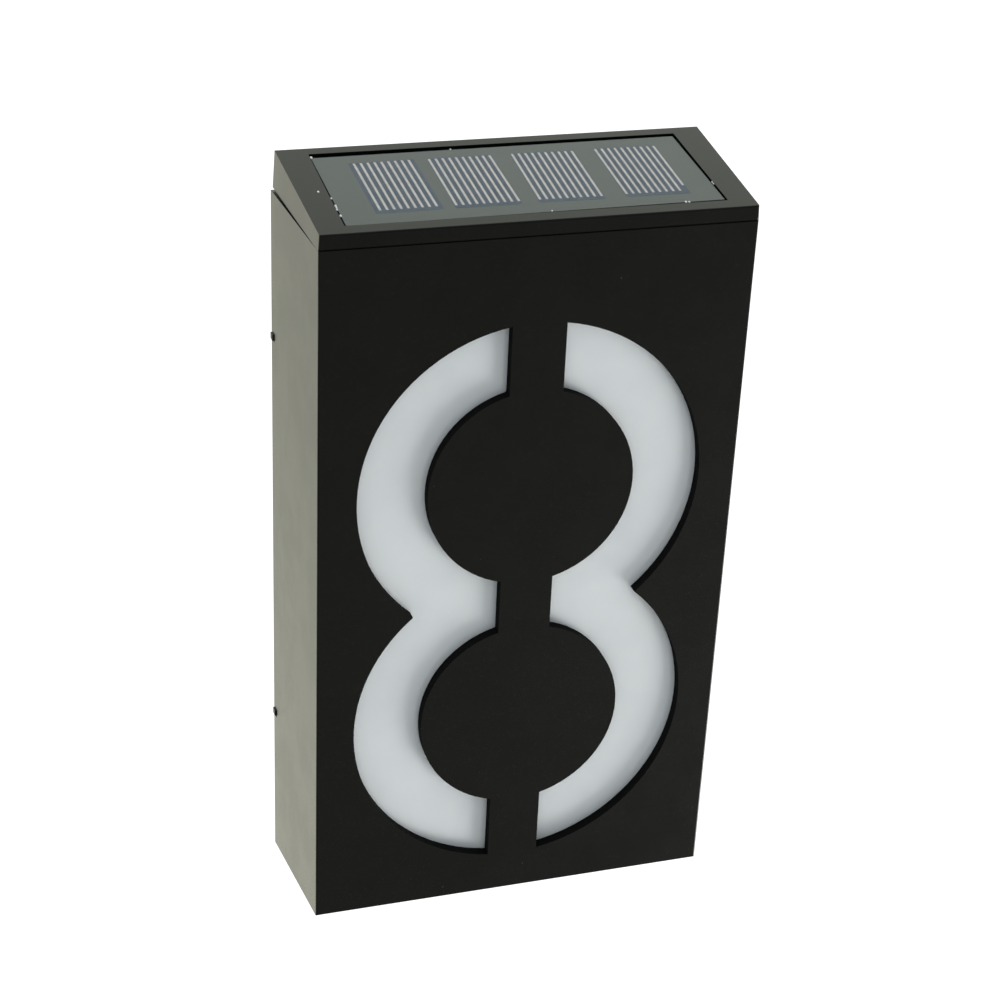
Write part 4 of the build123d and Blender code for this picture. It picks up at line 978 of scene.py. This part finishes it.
spring = solid_copy("battery_minus_contact")
leaf_face = (leaf_x - WIRE_GAP / 2) * MM
plain_coil = [v for v in spring.verts if v.co.x < leaf_face]
bmesh.ops.delete(spring, geom=plain_coil, context="VERTS")
section = bmesh.ops.create_circle(
    spring, cap_ends=True, radius=WIRE_R * MM, segments=WIRE_SIDES,
)["verts"]
quarter_turn = Matrix.Rotation(math.pi / 2, 3, "X")
bmesh.ops.rotate(spring, verts=section, cent=(0, 0, 0), matrix=quarter_turn)
start_x = leaf_x - WIRE_R - WIRE_GAP
bmesh.ops.translate(spring, verts=section, vec=Vector((start_x, cell_y, cell_z + SPRING_R)) * MM)
coil_start = Vector((start_x, cell_y, cell_z)) * MM
bmesh.ops.rotate(spring, verts=section, cent=coil_start, matrix=quarter_turn.transposed())
run = foot_x + WIRE_R + WIRE_GAP - start_x
steps = int(SPRING_STEPS * SPRING_TURNS)
cap = section[0].link_faces[0]
bmesh.ops.spin(
    spring, geom=[cap, *cap.edges, *cap.verts], cent=Vector((0, cell_y, cell_z)) * MM, axis=(1, 0, 0),
    angle=math.tau * SPRING_TURNS, dvec=(run * MM / steps, 0, 0), steps=steps,
)
for vert in spring.verts:
    if vert.co.x < leaf_face:
        share = min(1.0, max(0.0, (vert.co.x / MM - start_x) / run))
        out = Vector((0, vert.co.y - cell_y * MM, vert.co.z - cell_z * MM))
        vert.co += out.normalized() * (SPRING_TIP_R - SPRING_R) * share * MM
bmesh.ops.recalc_face_normals(spring, faces=spring.faces)
finished(spring, "minus_contact_spring", nickel, ["battery_minus_contact"])

shrink, finish = new_material("shrink_sleeve")
x, y, z = finish.places()
band = finish.spread(x, nub_x + SLEEVE_BAND, nub_x + SLEEVE_BAND + 0.1, 1.0, 0.0)
creases = finish.noise(3.0, 3.0, 0.6)
finish.surface({
    "Base Color": finish.blend(band, SLEEVE, SLEEVE_PALE),
    "Roughness": finish.between(creases, 0.22, 0.34),
    "Coat Weight": 0.4,
    "Normal": finish.bump(creases, 0.3, 0.04),
})
can_x = nub_x + CELL_NUB
sleeve_line = (  # places along the cell, each with its radius
    (can_x + 0.02, 3.4), (can_x, 3.6), (can_x, 5.9), (can_x + 0.25, 6.75), (can_x + 0.8, CELL_R),
    (foot_x - 0.5, CELL_R), (foot_x - 0.12, CELL_R - 0.15), (foot_x, CELL_R - 0.6), (foot_x, 5.6),
    (foot_x - 0.05, 5.4),
)
sleeve = bmesh.new()
sleeve_edge = outline(sleeve, [(x, cell_y, cell_z + r) for x, r in sleeve_line])
bmesh.ops.spin(
    sleeve, geom=sleeve_edge, cent=Vector((0, cell_y, cell_z)) * MM, axis=(1, 0, 0), angle=math.tau,
    steps=SLEEVE_STEPS, use_merge=True,
)
bmesh.ops.remove_doubles(sleeve, verts=sleeve.verts, dist=WELD)
bmesh.ops.recalc_face_normals(sleeve, faces=sleeve.faces)
bmesh.ops.solidify(sleeve, geom=sleeve.faces, thickness=SLEEVE_T * MM)
finished(sleeve, "cell_sleeve", shrink, ["battery"])

can_line = (
    (nub_x, 0), (nub_x, 2.2), (nub_x + 0.15, 2.55), (nub_x + 0.4, 2.7), (can_x + 0.1, 2.7),
    (can_x + 0.15, 6.4), (can_x + 0.9, 7.0), (foot_x - 0.6, 7.0), (foot_x - 0.15, 6.6),
    (foot_x - 0.06, 5.0), (foot_x - 0.02, 0),
)
can_edge = [(x, cell_y, cell_z + r) for x, r in can_line]
can = turned(can_edge, (1, 0, 0), (0, cell_y, cell_z), SLEEVE_STEPS)
finished(can, "cell_can", nickel, ["battery"])

marks = bmesh.new()
level_bar = (MARK_LENGTH, 2 * MARK_RISE, MARK_WIDTH)
upright_bar = (MARK_WIDTH, 2 * MARK_RISE - MARK_STEP, MARK_LENGTH)
slab(marks, (-MARK_X, MARK_Y, cell_z), level_bar)
slab(marks, (-MARK_X, MARK_Y, cell_z), upright_bar)
slab(marks, (MARK_X, MARK_Y, cell_z), level_bar)
finished(marks, "bay_marks", ink)

# Battery door: a small moulding in the back plate's plastic. It hangs on two pins at its top edge and
# has finger grooves near its lower edge, above a thumb notch in the plate.
door = solid_copy("battery_door")
door_face_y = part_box("battery_door")[1].y
soften(door, lambda p: p.y > door_face_y - WALL_REACH, PLATE_EDGE_R)
finished(door, "battery_door_moulding", plate_plastic, ["battery_door"], "battery_door")

# Switch knob: a small stem of black plastic in the slide switch, with grooves across its end. A
# fingertip slides it between off and on.
KNOB_BLACK = (0.006, 0.006, 0.007, 1.0)
KNOB_POLISHED = (0.012, 0.012, 0.012, 1.0)
KNOB_TINT = (0.5, 0.5, 0.5, 1.0)
KNOB_EDGE_R = 0.3
GRIP_PITCH = 0.55

knob_end_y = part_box("switch_knob")[1].y
knob_plastic, finish = new_material("knob_plastic")
x, y, z = finish.places()
grip = abs(x % GRIP_PITCH - GRIP_PITCH / 2) * (y > (knob_end_y - FACE_REACH) / MM)
worn = finish.noise(0.9, 2.0)
finish.surface({
    "Base Color": finish.blend(finish.patches(worn), KNOB_BLACK, KNOB_POLISHED),
    "Roughness": finish.between(worn, 0.30, 0.42),
    "IOR": 1.5,
    "Specular Tint": KNOB_TINT,
    "Normal": finish.bump(grip * 4.0 + worn * 0.1, 0.8, 0.15),
})
knob = solid_copy("switch_knob")
soften(knob, lambda p: p.y > knob_end_y - FACE_REACH, KNOB_EDGE_R, 3)
finished(knob, "switch_knob_moulding", knob_plastic, ["switch_knob"], "switch_knob")
